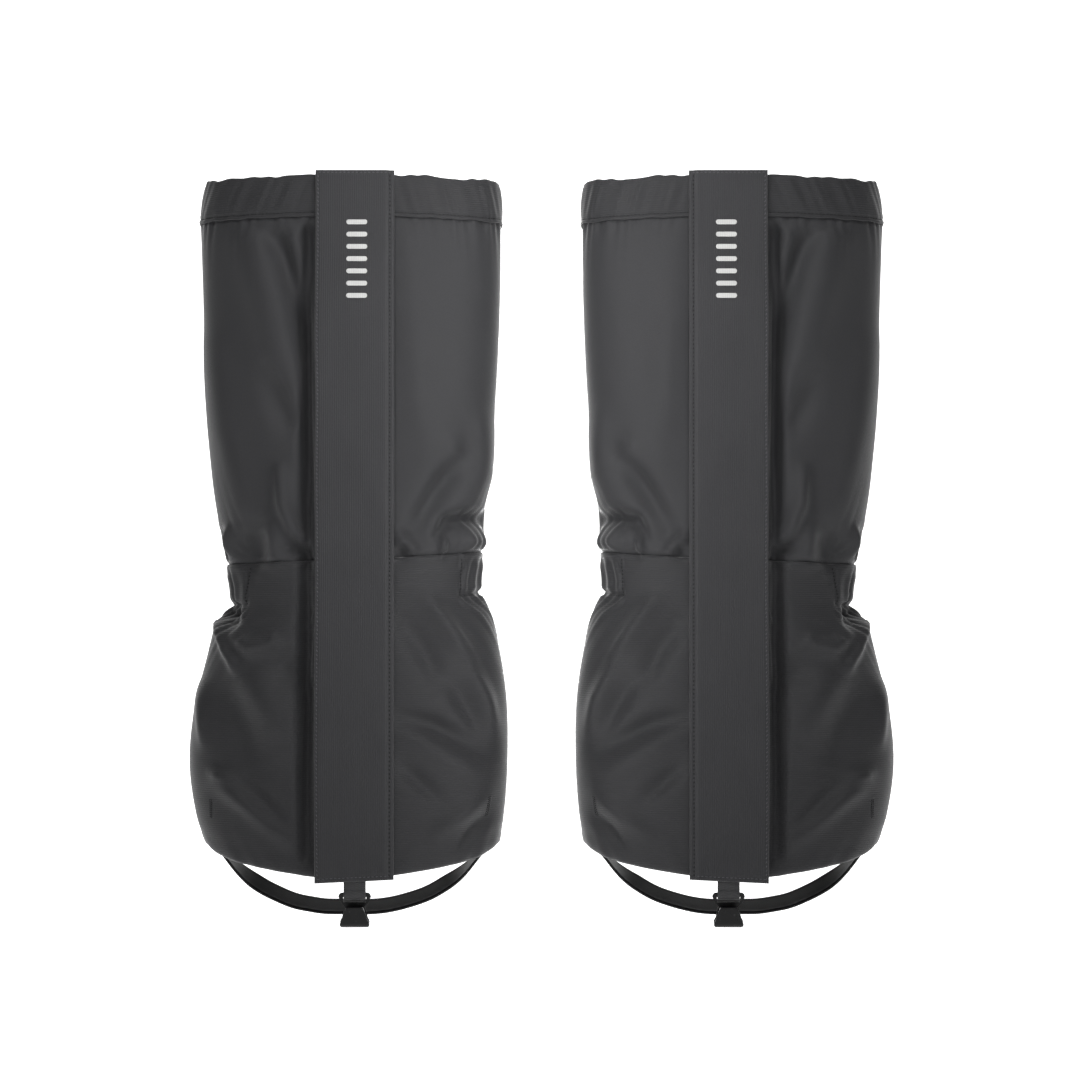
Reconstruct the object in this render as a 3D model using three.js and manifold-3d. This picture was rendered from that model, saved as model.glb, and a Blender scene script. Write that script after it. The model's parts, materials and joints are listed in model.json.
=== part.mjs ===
// A pair of knee-high gaiters: a fabric leg tube with an elastic ankle channel, a full-length
// front closure flap, a lace hook on a webbing tab and an instep strap.
// Millimetres, +Z up the leg, -Y the front of the shin. One gaiter is built for the left of
// the pair and the other is its mirror image.
// Heights are measured from the lowest point of the front hem.
import * as THREE from 'three';
import { mergeVertices } from 'three/addons/utils/BufferGeometryUtils.js';
import Module from 'manifold-3d';

const wasm = await Module();
wasm.setup();
const { lerp, smoothstep, degToRad } = THREE.MathUtils;

// ---- Driving dimensions ----
const PAIR_SPACING = 239.2; // between the two gaiters' centre lines
const CROSS_SEAM_Z = 198.2; // seam between the lower and the upper panels, at the front
const RIM_Z = 431; // top rim at the sides
const RIM_FRONT_RISE = 5; // the rim is this much higher at the front
const RIM_BACK_DROP = 5; // and this much lower at the back
const SEAM_RISE = 3.8; // the cross seam climbs by this towards the inner side
const SIDE_HEM_Z = 20; // hem at the sides and the back
const FRONT_AT_HEM = 50; // depth in front of the leg's axis at the hem
const FRONT_AT_RIM = 34;
const ROUNDNESS = 2.4; // exponent of the tube's section

// half-widths of the tube on the outer and the inner side of the leg
const OUTER = { hem: 88.6, foot: 99.5, ankle: 73, calf: 92, rim: 88 };
const INNER = { hem: 91.9, foot: 97.4, ankle: 79.7, calf: 92.9, rim: 91 };
const BACK = { hem: 46, foot: 52, ankle: 22, calf: 39, rim: 34 };

const FABRIC = 1.0; // panel thickness
const GAP = 0.3; // clearance between neighbouring pieces
const CASING_WALL = 0.8;
const CASING_HEIGHT = 26;
const CASING_OVERLAP = 6; // the panel's top edge reaches this far into the casing
const ELASTIC = 0.8;
const TOP_ELASTIC_HEIGHT = CASING_HEIGHT - 11;
const ANKLE_CASING_HEIGHT = 23;
const ANKLE_ELASTIC_HEIGHT = ANKLE_CASING_HEIGHT - 6;
const ANKLE_CASING_DROP = 2; // below the cross seam
const ANKLE_BAND_OUTER_X = -63; // where the ankle channel ends at the front
const ANKLE_BAND_INNER_X = 68.8;
const BAND_GAP = 0.5; // round the ankle, where the tube folds in
const SEAM_TAPE = 0.4;
const SEAM_TAPE_WIDTH = 20;

const FLAP_FREE_X = -20.2; // edge that opens
const FLAP_SEWN_X = 26.3; // edge that is sewn down and folds
const FLAP_ABOVE_RIM = 2.8;
const FLAP_TOP_Z = RIM_Z + RIM_FRONT_RISE + FLAP_ABOVE_RIM;
const FLAP_BOTTOM_Z = -1.2;
const FLAP_BOTTOM_SLANT = 2.2;
const FLAP_THICKNESS = 1.2;
const CLOSURE_TAPE = 0.8; // hook tape and loop tape alike
const CLOSURE_X = [-16, 12];
const OUTER_EDGE_X = 17.5; // outer panels end here, under the flap
const INNER_EDGE_X = 20.5;
const BINDING_WIDTH = FLAP_SEWN_X - INNER_EDGE_X;
const BINDING_BOTTOM_Z = 3;

const TAB_X = 4.7;
const TAB_WIDTH = 13.5;
const TAB_THICKNESS = 1.8; // two layers of webbing sewn together
const TAB_LIFT = 0.1; // the panel's facets rise this far above their chords
const TAB_EYE_PLAY = 0.65;
const TAB_EYE_WALL = 1.1;
const TAB_EYE_OPENING = 150; // degrees: where the loop's outside meets the tail
const TAB_TOP_Z = 17;
const CLOSURE_BOTTOM_Z = TAB_TOP_Z + 1.5; // the closure tapes start above the tab
const HOOK_BAR_DROP = 8.2; // bar of the lace hook below the front hem
const HOOK_SHEET = 1.6;
const HOOK_BAR = 2.5;
const HOOK_SLOT_HEIGHT = 3.5;
const HOOK_WIDTH = 20;
const HOOK_NECK_WIDTH = 12.2;
const HOOK_FOOT_WIDTH = 18.2;
const HOOK_TIP_WIDTH = 10.5;
const HOOK_THROAT = 5.6;
const HOOK_DEPTH = 19.6; // bar centre to the bottom of the bend
const HOOK_TIP_DROP = 5.9; // bar centre to the tip of the tongue
const HOOK_EAR = 2.4; // radius of the frame's top corners
const HOOK_CORNER = 3; // and of the bend's
const HOOK_SIDE_PLAY = 0.45; // between the tab's edges and the slot's ends
const HOOK_SHOULDER = 2.2; // height over which the frame narrows to its neck
const HOOK_SLOT_RAIL = 0.4; // straight side below the slot

const STRAP_WIDTH = 20;
const STRAP_THICKNESS = 1.5;
const STRAP_LOWEST_Z = -19.5; // centre line under the foot
const STRAP_MOUTH_Z = SIDE_HEM_Z + 2; // where the strap leaves its anchors and swings
const STRAP_TILT = 22; // degrees: the back edge is higher under the foot
const STRAP_CURVE = 2.6; // exponent of the strap's sag
const STRAP_FLAT_SHARE = 0.2; // middle share of the strap that keeps the whole tilt
const STRAP_STEPS = 22;
const STRAP_INSET = 4;
const ANCHOR_HEIGHT = 30;
const ANCHOR_INSET = 0.6;
const STRAP_TOP_GAP = 0.4; // below the mouth
const ANCHOR_FOOT_GAP = 0.8; // above it

// ---- Finishes ----
const finish = (color, roughness, metalness = 0) =>
  new THREE.MeshStandardMaterial({ color, roughness, metalness });
const FINISHES = {
  upperFabric: finish(0x3f3f42, 0.8),
  lowerFabric: finish(0x38383b, 0.85),
  tape: finish(0x232325, 0.9),
  elastic: finish(0x2a2a2c, 0.9),
  webbing: finish(0x1d1d1f, 0.85),
  hookMetal: finish(0x1a1a1c, 0.4, 0.85),
};

// ---- The leg tube's surface ----
/** A smooth curve through a few [position, value] knots, level beyond its ends. */
function smoothCurve(knots) {
  const slope = (i) => {
    const a = knots[Math.max(i - 1, 0)];
    const b = knots[Math.min(i + 1, knots.length - 1)];
    return (b[1] - a[1]) / (b[0] - a[0]);
  };
  return (t) => {
    if (t <= knots[0][0]) return knots[0][1];
    const i = knots.findIndex((k) => k[0] >= t) - 1;
    if (i < 0) return knots[knots.length - 1][1];
    const [x0, y0] = knots[i];
    const [x1, y1] = knots[i + 1];
    const h = x1 - x0;
    const u = (t - x0) / h;
    const start = (1 + 2 * u) * (1 - u) ** 2 * y0 + u * (1 - u) ** 2 * h * slope(i);
    return start + u * u * (3 - 2 * u) * y1 + u * u * (u - 1) * h * slope(i + 1);
  };
}

const INSIDE = 0; // angles round the tube
const REAR = Math.PI / 2;
const OUTSIDE = Math.PI;
const SHIN = 1.5 * Math.PI;

// ---- Curves round the tube ----
const seamZ = (angle) => CROSS_SEAM_Z + SEAM_RISE * Math.cos(angle);
const rimRise = (s) => (s < 0 ? RIM_FRONT_RISE * -s : -RIM_BACK_DROP * s);
const rimZ = (angle) => RIM_Z + rimRise(Math.sin(angle));
const casingZ = (angle) => rimZ(angle) - CASING_HEIGHT;
const hemShare = smoothCurve([[0, 0.02], [0.44, 0.3], [0.75, 0.55], [0.88, 0.72], [1, 1]]);

/** The hem: lowest at the shin, climbing to the sides and level round the back. */
function hemZ(angle) {
  if (Math.sin(angle) > 0) return SIDE_HEM_Z;
  return SIDE_HEM_Z * hemShare(Math.abs(Math.cos(angle)));
}

/** Height at a level: 0 is the hem, 1 the cross seam, 2 the casing's lower edge, 3 the rim. */
function heightAt(level, angle) {
  const marks = [hemZ(angle), seamZ(angle), casingZ(angle), rimZ(angle)];
  const step = Math.min(Math.floor(level), 2);
  return lerp(marks[step], marks[step + 1], level - step);
}

/** How a width runs up the leg: full at the foot, drawn in at the ankle, out to the calf. */
function profile(size, shares) {
  const narrow = (share) => lerp(size.foot, size.ankle, share);
  const widen = (share) => lerp(size.ankle, size.calf, share);
  return smoothCurve([
    [0, size.hem],
    [0.11, lerp(size.hem, size.foot, 0.62)],
    [0.3, size.foot],
    [0.5, narrow(shares[0])],
    [0.67, narrow(shares[1])],
    [0.79, narrow(shares[2])],
    [0.865, size.ankle],
    [1.0, widen(shares[3])],
    [1.1, widen(shares[4])],
    [1.26, widen(shares[5])],
    [1.5, widen(shares[6])],
    [1.8, widen(shares[7])],
    [2.0, size.calf],
    [3.0, size.rim],
  ]);
}

const outerHalf = profile(OUTER, [0.13, 0.41, 0.64, 0.17, 0.39, 0.65, 0.84, 0.95]);
const innerHalf = profile(INNER, [0.04, 0.29, 0.59, 0.1, 0.21, 0.47, 0.8, 0.99]);
const backDepth = profile(BACK, [0.15, 0.45, 0.75, 0.08, 0.25, 0.55, 0.9, 1.0]);
const frontDepth = (z) => lerp(FRONT_AT_HEM, FRONT_AT_RIM, z / RIM_Z);
const FRONT_LEAN = Math.atan2(FRONT_AT_HEM - FRONT_AT_RIM, RIM_Z);

// ---- The tube's surface, as flat facets that every layer shares ----
const FACETS = 32; // facets round the tube
const FACET_ANGLE = (2 * Math.PI) / FACETS;
const ROWS = [
  0, 0.1, 0.2, 0.3, 0.42, 0.54, 0.66, 0.76, 0.83, 0.87, 0.93, 1,
  1.08, 1.2, 1.35, 1.55, 1.78, 2, 3,
];

/** A corner of the facets, moved out along the section's normal. */
function facetCorner(column, row, offset) {
  const angle = column * FACET_ANGLE;
  const level = ROWS[row];
  const z = heightAt(level, angle);
  const c = Math.cos(angle);
  const s = Math.sin(angle);
  const a = c < 0 ? outerHalf(level) : innerHalf(level);
  const b = s < 0 ? frontDepth(z) : backDepth(level);
  const x = Math.sign(c) * a * Math.abs(c) ** (2 / ROUNDNESS);
  const y = Math.sign(s) * b * Math.abs(s) ** (2 / ROUNDNESS);
  const power = ROUNDNESS - 1;
  const normal = new THREE.Vector2(
    (Math.sign(c) * Math.abs(x / a) ** power) / a,
    (Math.sign(s) * Math.abs(y / b) ** power) / b,
  ).normalize();
  return new THREE.Vector3(x + normal.x * offset, y + normal.y * offset, z);
}

/** A point on the facets at an angle and a level. */
function onTube(angle, level, offset) {
  const across = angle / FACET_ANGLE;
  const column = Math.floor(across + 1e-9);
  const above = ROWS.findIndex((row) => row > level);
  const row = above < 0 ? ROWS.length - 2 : above - 1;
  const up = (level - ROWS[row]) / (ROWS[row + 1] - ROWS[row]);
  const low = facetCorner(column, row, offset)
    .lerp(facetCorner(column + 1, row, offset), across - column);
  const high = facetCorner(column, row + 1, offset)
    .lerp(facetCorner(column + 1, row + 1, offset), across - column);
  return low.lerp(high, up);
}

/** The angle within an eighth of a turn of a start where the tube's x or y has a value. */
function angleWhere(axis, value, start, level) {
  let low = start - Math.PI / 4;
  let high = start + Math.PI / 4;
  const rises = onTube(high, level, 0)[axis] > onTube(low, level, 0)[axis];
  for (let pass = 0; pass < 40; pass++) {
    const middle = (low + high) / 2;
    const below = onTube(middle, level, 0)[axis] < value;
    if (below === rises) low = middle;
    else high = middle;
  }
  return (low + high) / 2;
}

const frontLine = (x) => (level) => angleWhere('x', x, SHIN, level);
const frontLineBefore = (x) => (level) => frontLine(x)(level) - 2 * Math.PI;
const rearLine = (x) => (level) => angleWhere('x', x, REAR, level);
const sideLine = (side, y) => (level) => angleWhere('y', y, side, level);

const NEAR_COLUMN = 0.02; // an edge this close to a region's own edge is left out
const NEAR_ROW = 0.01;

/** Facet edges that lie well inside a range. */
function between(marks, low, high, margin) {
  return marks.filter((mark) => mark > low + margin && mark < high - margin);
}

/** The facet columns that a region crosses between its two edges. */
function columnsOf(region) {
  const levels = [region.low, (region.low + region.high) / 2, region.high];
  const start = Math.max(...levels.map(region.from));
  const end = Math.min(...levels.map(region.to));
  const marks = Array.from({ length: 2 * FACETS }, (_, i) => (i - FACETS / 2) * FACET_ANGLE);
  return between(marks, start, end, NEAR_COLUMN);
}

/**
 * Bends a piece drawn flat round the tube. In the flat drawing x counts facet columns, y
 * counts rows, and z is the distance out from the tube's surface.
 */
function wrap(geometry, region, columns, levelOf) {
  const position = geometry.attributes.position;
  for (let i = 0; i < position.count; i++) {
    const column = Math.round(position.getX(i));
    const level = levelOf(position.getY(i));
    let angle = columns[column - 1];
    if (column === 0) angle = region.from(level);
    if (column === columns.length + 1) angle = region.to(level);
    const point = onTube(angle, level, position.getZ(i));
    position.setXYZ(i, point.x, point.y, point.z);
  }
  geometry.computeVertexNormals();
  return geometry;
}

/** A sheet that follows the tube between two offsets from its surface. */
function wrappedSheet(region, inside, thickness) {
  const columns = columnsOf(region);
  const rows = [region.low, ...between(ROWS, region.low, region.high, NEAR_ROW), region.high];
  const width = columns.length + 1;
  const height = rows.length - 1;
  const sheet = new THREE.BoxGeometry(width, height, thickness, width, height, 1);
  sheet.translate(width / 2, height / 2, inside + thickness / 2);
  return wrap(sheet, region, columns, (y) => rows[Math.round(y)]);
}

// ---- Panels, casings, elastics and tapes ----
const BELOW_CASING = 1.99; // level of the tapes' upper ends
const ABOVE_HEM = 0.01; // and of their lower ones
const BELOW_RIM = 2.96;
const OUTER_SIDE = { from: rearLine(-GAP / 2), to: frontLine(OUTER_EDGE_X) };
const INNER_SIDE = { from: frontLineBefore(INNER_EDGE_X), to: rearLine(GAP / 2) };
const SEAM_GAP = GAP / 2 / (CROSS_SEAM_Z - SIDE_HEM_Z); // as a share of the lower panels
const LOWER = { low: 0, high: 1 - SEAM_GAP };
const UPPER = { low: 1 + SEAM_GAP, high: 2 + CASING_OVERLAP / CASING_HEIGHT };

/** One of the four panels of the leg tube. */
const panel = (side, band) => wrappedSheet({ ...side, ...band }, 0, FABRIC);

/** Turns the triangles round after a change that mirrors them. */
function flipFaces(geometry) {
  const position = geometry.attributes.position;
  const second = new THREE.Vector3();
  const third = new THREE.Vector3();
  for (let i = 0; i < position.count; i += 3) {
    second.fromBufferAttribute(position, i + 1);
    third.fromBufferAttribute(position, i + 2);
    position.setXYZ(i + 1, third.x, third.y, third.z);
    position.setXYZ(i + 2, second.x, second.y, second.z);
  }
}

const casingStartX = INNER_EDGE_X + BINDING_WIDTH + 2 * GAP;

/** The folded casing at the rim: two walls and a top web, open at the bottom. */
function topCasing(side) {
  const inside = -GAP - CASING_WALL;
  const outside = FABRIC + GAP + CASING_WALL;
  const web = 1 - CASING_WALL / CASING_HEIGHT;
  const section = new THREE.Shape();
  section.moveTo(inside, 0);
  section.lineTo(-GAP, 0);
  section.lineTo(-GAP, web);
  section.lineTo(FABRIC + GAP, web);
  section.lineTo(FABRIC + GAP, 0);
  section.lineTo(outside, 0);
  section.lineTo(outside, 1);
  section.lineTo(inside, 1);
  const start = side === INNER_SIDE ? frontLineBefore(casingStartX) : side.from;
  const region = { from: start, to: side.to, low: 2, high: 3 };
  const columns = columnsOf(region);
  const steps = columns.length + 1;
  const run = new THREE.ExtrudeGeometry(section, { depth: steps, steps, bevelEnabled: false });
  // the section's x becomes the offset, and the run goes round the tube
  run.rotateY(Math.PI / 2);
  run.scale(1, 1, -1);
  flipFaces(run);
  return wrap(run, region, columns, (y) => 2 + y);
}

/** The flat elastic that runs inside the top casing, above the panels' edges. */
function topElastic() {
  const low = UPPER.high + (2 * GAP) / CASING_HEIGHT;
  const region = {
    from: frontLineBefore(casingStartX + 1),
    to: frontLine(OUTER_EDGE_X - 1),
    low,
    high: low + TOP_ELASTIC_HEIGHT / CASING_HEIGHT,
  };
  return wrappedSheet(region, (FABRIC - ELASTIC) / 2, ELASTIC);
}

/** A band inside the ankle, centred in the channel below the cross seam. */
function ankleBand(height, inside, thickness) {
  const side = CROSS_SEAM_Z - SIDE_HEM_Z;
  const centre = 1 - (ANKLE_CASING_HEIGHT / 2 + ANKLE_CASING_DROP) / side;
  const region = {
    from: frontLineBefore(ANKLE_BAND_INNER_X),
    to: frontLine(ANKLE_BAND_OUTER_X),
    low: centre - height / 2 / side,
    high: centre + height / 2 / side,
  };
  return wrappedSheet(region, inside, thickness);
}

const ankleElasticInside = -SEAM_TAPE - 2 * GAP - BAND_GAP - ELASTIC;
const ankleCasingInside = ankleElasticInside - BAND_GAP - CASING_WALL;

/** The tape over the centre-back seam, inside the tube. */
function backSeamTape() {
  const region = {
    from: rearLine(SEAM_TAPE_WIDTH / 2),
    to: rearLine(-SEAM_TAPE_WIDTH / 2),
    low: ABOVE_HEM,
    high: BELOW_CASING,
  };
  return wrappedSheet(region, -GAP - SEAM_TAPE, SEAM_TAPE);
}

// ---- The front closure ----
// Out from the tube: panel, loop tape, hook tape, flap, with a gap between neighbours.
const LOOP_TAPE_INSIDE = FABRIC + GAP;
const HOOK_TAPE_INSIDE = LOOP_TAPE_INSIDE + CLOSURE_TAPE + GAP;
const FLAP_INSIDE = HOOK_TAPE_INSIDE + CLOSURE_TAPE + GAP;
const FLAP_HINGE_OUT = FLAP_INSIDE + FLAP_THICKNESS / 2;
const BINDING_CLEARANCE = 1.4 * GAP; // below the flap, which is flat across the facets
const FLAP_HINGE_GAP = 0.5;
const FLAP_HINGE_X = FLAP_SEWN_X + FLAP_HINGE_GAP;
const CLOSURE_TOP_GAP = 1; // below the top casing
const CLOSURE_TOP_Z = casingZ(SHIN) - CLOSURE_TOP_GAP;
const lowerLevel = (z) => (z - hemZ(SHIN)) / (seamZ(SHIN) - hemZ(SHIN));

/** The soft half of the closure, sewn to the outer panels under the flap. */
function loopTape() {
  const region = {
    from: frontLine(CLOSURE_X[0]),
    to: frontLine(CLOSURE_X[1]),
    low: lowerLevel(CLOSURE_BOTTOM_Z),
    high: BELOW_CASING,
  };
  return wrappedSheet(region, LOOP_TAPE_INSIDE, CLOSURE_TAPE);
}

/** The folded binding that carries the flap's sewn edge on the inner panels. */
function flapBinding() {
  const region = {
    from: frontLine(INNER_EDGE_X),
    to: frontLine(INNER_EDGE_X + BINDING_WIDTH),
    low: lowerLevel(BINDING_BOTTOM_Z),
    high: BELOW_RIM,
  };
  const thickness = FLAP_INSIDE - LOOP_TAPE_INSIDE - BINDING_CLEARANCE;
  return wrappedSheet(region, LOOP_TAPE_INSIDE, thickness);
}

/** Frame on the straight front line: x across, y up the line, z out of the shin. */
function frontFrame(name, x, z, out) {
  const frame = new THREE.Group();
  frame.name = name;
  frame.position.set(x, -frontDepth(z) - out, z);
  frame.rotation.x = Math.PI / 2 - FRONT_LEAN;
  return frame;
}

/** The closure flap, drawn from its hinge line. */
function flapGeometry() {
  const shape = new THREE.Shape();
  const free = FLAP_FREE_X - FLAP_HINGE_X;
  const sewn = FLAP_SEWN_X - FLAP_HINGE_X;
  shape.moveTo(free, FLAP_BOTTOM_Z);
  shape.lineTo(sewn, FLAP_BOTTOM_Z + FLAP_BOTTOM_SLANT);
  shape.lineTo(sewn, FLAP_TOP_Z);
  shape.lineTo(free, FLAP_TOP_Z);
  const options = { depth: FLAP_THICKNESS, bevelEnabled: false };
  return new THREE.ExtrudeGeometry(shape, options).translate(0, 0, -FLAP_THICKNESS / 2);
}

/** The hook half of the closure, on the flap's back. */
function hookTapeGeometry() {
  const length = CLOSURE_TOP_Z - CLOSURE_BOTTOM_Z;
  const tape = new THREE.BoxGeometry(CLOSURE_X[1] - CLOSURE_X[0], length, CLOSURE_TAPE, 1, 4, 1);
  const x = (CLOSURE_X[0] + CLOSURE_X[1]) / 2 - FLAP_HINGE_X;
  const out = HOOK_TAPE_INSIDE + CLOSURE_TAPE / 2 - FLAP_HINGE_OUT;
  return tape.translate(x, CLOSURE_BOTTOM_Z + length / 2, out);
}

// ---- The lace hook and its tab ----
const TAB_OUT = LOOP_TAPE_INSIDE + (TAB_THICKNESS + TAB_LIFT) / 2;
const TAB_EYE = HOOK_BAR / 2 + TAB_EYE_PLAY; // radius of the loop's hole

/** Webbing tab: a flat tail sewn to the panel and a loop round the hook's bar. */
function tabGeometry() {
  const half = TAB_THICKNESS / 2;
  const radius = TAB_EYE + TAB_EYE_WALL;
  const shape = new THREE.Shape();
  shape.moveTo(-half, TAB_TOP_Z + HOOK_BAR_DROP);
  shape.lineTo(-half, 2 * radius);
  shape.absarc(0, 0, radius, degToRad(TAB_EYE_OPENING), degToRad(540 - TAB_EYE_OPENING), false);
  shape.lineTo(half, 2 * radius);
  shape.lineTo(half, TAB_TOP_Z + HOOK_BAR_DROP);
  const eye = new THREE.Path();
  eye.absarc(0, 0, TAB_EYE, 0, 2 * Math.PI, true);
  shape.holes.push(eye);
  const options = { depth: TAB_WIDTH, bevelEnabled: false, curveSegments: 14 };
  const tab = new THREE.ExtrudeGeometry(shape, options);
  tab.translate(0, 0, -TAB_WIDTH / 2);
  return tab.rotateY(Math.PI / 2);
}

/** Turns a closed three.js geometry into a manifold solid. */
function toSolid(geometry) {
  const plain = geometry.clone();
  plain.deleteAttribute('normal');
  plain.deleteAttribute('uv');
  const merged = mergeVertices(plain, 1e-5);
  return new wasm.Manifold(new wasm.Mesh({
    numProp: 3,
    vertProperties: new Float32Array(merged.attributes.position.array),
    triVerts: new Uint32Array(merged.index.array),
  }));
}

/** Turns a manifold solid back into a three.js geometry. */
function toGeometry(solid) {
  const mesh = solid.getMesh();
  const geometry = new THREE.BufferGeometry();
  geometry.setAttribute('position', new THREE.BufferAttribute(mesh.vertProperties, 3));
  geometry.setIndex(new THREE.BufferAttribute(mesh.triVerts, 1));
  return geometry.toNonIndexed();
}

/** A front-view outline given thickness, with y up and z out of the shin. */
function plate(shape, thickness, out) {
  const options = { depth: thickness, bevelEnabled: false, curveSegments: 4 };
  return toSolid(new THREE.ExtrudeGeometry(shape, options).translate(0, 0, out));
}

/** The hook's upper plate: a slotted frame that narrows to a neck and widens to the bend. */
function hookFrameOutline(bendY) {
  const ear = HOOK_EAR;
  const wide = HOOK_WIDTH / 2;
  const neck = HOOK_NECK_WIDTH / 2;
  const foot = HOOK_FOOT_WIDTH / 2 - 1;
  const top = HOOK_BAR / 2;
  const slotBottom = -HOOK_BAR / 2 - HOOK_SLOT_HEIGHT;
  const shoulder = slotBottom - HOOK_SLOT_RAIL;
  const outline = new THREE.Shape();
  outline.absarc(wide - ear, top - ear, ear, 0, Math.PI / 2, false);
  outline.absarc(-wide + ear, top - ear, ear, Math.PI / 2, Math.PI, false);
  outline.lineTo(-wide, shoulder);
  outline.lineTo(-neck, shoulder - HOOK_SHOULDER);
  outline.lineTo(-foot, bendY);
  outline.lineTo(foot, bendY);
  outline.lineTo(neck, shoulder - HOOK_SHOULDER);
  outline.lineTo(wide, shoulder);
  const slot = new THREE.Path();
  const slotHalf = TAB_WIDTH / 2 + HOOK_SIDE_PLAY;
  slot.moveTo(-slotHalf, -top);
  slot.lineTo(slotHalf, -top);
  slot.lineTo(slotHalf, slotBottom);
  slot.lineTo(-slotHalf, slotBottom);
  outline.holes.push(slot);
  return outline;
}

/** The tongue seen from the front: narrow at its tip and wide, with round corners, at the bend. */
function tongueOutline() {
  const tip = HOOK_TIP_WIDTH / 2;
  const foot = HOOK_FOOT_WIDTH / 2;
  const corner = HOOK_CORNER;
  const outline = new THREE.Shape();
  outline.moveTo(tip, -HOOK_TIP_DROP);
  outline.lineTo(-tip, -HOOK_TIP_DROP);
  outline.lineTo(-foot, -HOOK_DEPTH + corner);
  outline.quadraticCurveTo(-foot, -HOOK_DEPTH, -foot + corner, -HOOK_DEPTH);
  outline.lineTo(foot - corner, -HOOK_DEPTH);
  outline.quadraticCurveTo(foot, -HOOK_DEPTH, foot, -HOOK_DEPTH + corner);
  return outline;
}

/** The hook seen from the side: a bend at the bottom and the tongue rising in front. */
function bendProfile(bendY) {
  const inner = HOOK_THROAT / 2;
  const outer = inner + HOOK_SHEET;
  const profileShape = new THREE.Shape();
  profileShape.moveTo(-outer, bendY);
  profileShape.absarc(0, bendY, outer, Math.PI, 2 * Math.PI, false);
  profileShape.lineTo(outer, -HOOK_TIP_DROP);
  profileShape.lineTo(inner, -HOOK_TIP_DROP);
  profileShape.lineTo(inner, bendY);
  profileShape.absarc(0, bendY, inner, 2 * Math.PI, Math.PI, true);
  return profileShape;
}

/** The lace hook, drawn from the centre of its bar, before it hangs. */
function laceHookSolid() {
  const outer = HOOK_THROAT / 2 + HOOK_SHEET;
  const bendY = -HOOK_DEPTH + outer;
  const frame = plate(hookFrameOutline(bendY), HOOK_SHEET, -HOOK_SHEET / 2);
  const options = { depth: HOOK_WIDTH, bevelEnabled: false, curveSegments: 7 };
  const bend = new THREE.ExtrudeGeometry(bendProfile(bendY), options);
  bend.translate(0, 0, -HOOK_WIDTH / 2);
  bend.rotateY(-Math.PI / 2);
  bend.translate(0, 0, outer - HOOK_SHEET / 2);
  const tongue = plate(tongueOutline(), 4 * outer, -outer);
  return frame.add(toSolid(bend).intersect(tongue));
}

/** Angle by which the hook must turn about its bar for its weight to hang straight below. */
function hangingAngle(geometry) {
  const position = geometry.attributes.position;
  const corners = [0, 1, 2].map(() => new THREE.Vector3());
  const moment = new THREE.Vector3();
  for (let i = 0; i < position.count; i += 3) {
    corners.forEach((corner, k) => corner.fromBufferAttribute(position, i + k));
    const volume = corners[0].dot(corners[1].clone().cross(corners[2]));
    corners.forEach((corner) => moment.addScaledVector(corner, volume));
  }
  return Math.atan2(moment.z, -moment.y);
}

// ---- The instep strap ----
const sideLevel = (z) => (z - SIDE_HEM_Z) / (CROSS_SEAM_Z - SIDE_HEM_Z);
const STRAP_MOUTH_LEVEL = sideLevel(STRAP_MOUTH_Z);

/** The strap's centre line: from the outer anchor, under the foot, to the inner anchor. */
function strapCentre(t) {
  const span = Math.abs(onTube(t < 0 ? OUTSIDE : INSIDE, STRAP_MOUTH_LEVEL, 0).x) - STRAP_INSET;
  const rise = STRAP_MOUTH_Z - STRAP_TOP_GAP - STRAP_LOWEST_Z;
  return new THREE.Vector3(t * span, 0, STRAP_LOWEST_Z + rise * Math.abs(t) ** STRAP_CURVE);
}

/** Flat webbing that hangs in a loop and tilts under the foot. */
function strapGeometry() {
  const strap = new THREE.BoxGeometry(2, STRAP_WIDTH, STRAP_THICKNESS, STRAP_STEPS, 1, 1);
  const position = strap.attributes.position;
  const across = new THREE.Vector3(0, 1, 0);
  for (let i = 0; i < position.count; i++) {
    const t = position.getX(i);
    const along = strapCentre(t + 1e-3).sub(strapCentre(t - 1e-3)).normalize();
    const tilt = degToRad(STRAP_TILT) * (1 - smoothstep(Math.abs(t), STRAP_FLAT_SHARE, 1));
    const up = along.clone().cross(across);
    const width = across.clone().applyAxisAngle(along, tilt);
    const out = up.applyAxisAngle(along, tilt);
    const point = strapCentre(t);
    point.addScaledVector(width, position.getY(i));
    point.addScaledVector(out, position.getZ(i));
    position.setXYZ(i, point.x, point.y, point.z);
  }
  strap.computeVertexNormals();
  return strap;
}

/** The sewn end of the strap, flat inside the tube above the hem. */
function anchorGeometry(side) {
  const front = sideLine(side, -STRAP_WIDTH / 2);
  const rear = sideLine(side, STRAP_WIDTH / 2);
  const region = {
    from: side === OUTSIDE ? rear : front,
    to: side === OUTSIDE ? front : rear,
    low: sideLevel(STRAP_MOUTH_Z + ANCHOR_FOOT_GAP),
    high: sideLevel(STRAP_MOUTH_Z + ANCHOR_HEIGHT),
  };
  return wrappedSheet(region, -ANCHOR_INSET - STRAP_THICKNESS, STRAP_THICKNESS);
}

// ---- Assembly ----
/** A named piece with a finish of its own. */
function piece(name, geometry, material) {
  const mesh = new THREE.Mesh(geometry, material.clone());
  mesh.name = name;
  return mesh;
}

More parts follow.
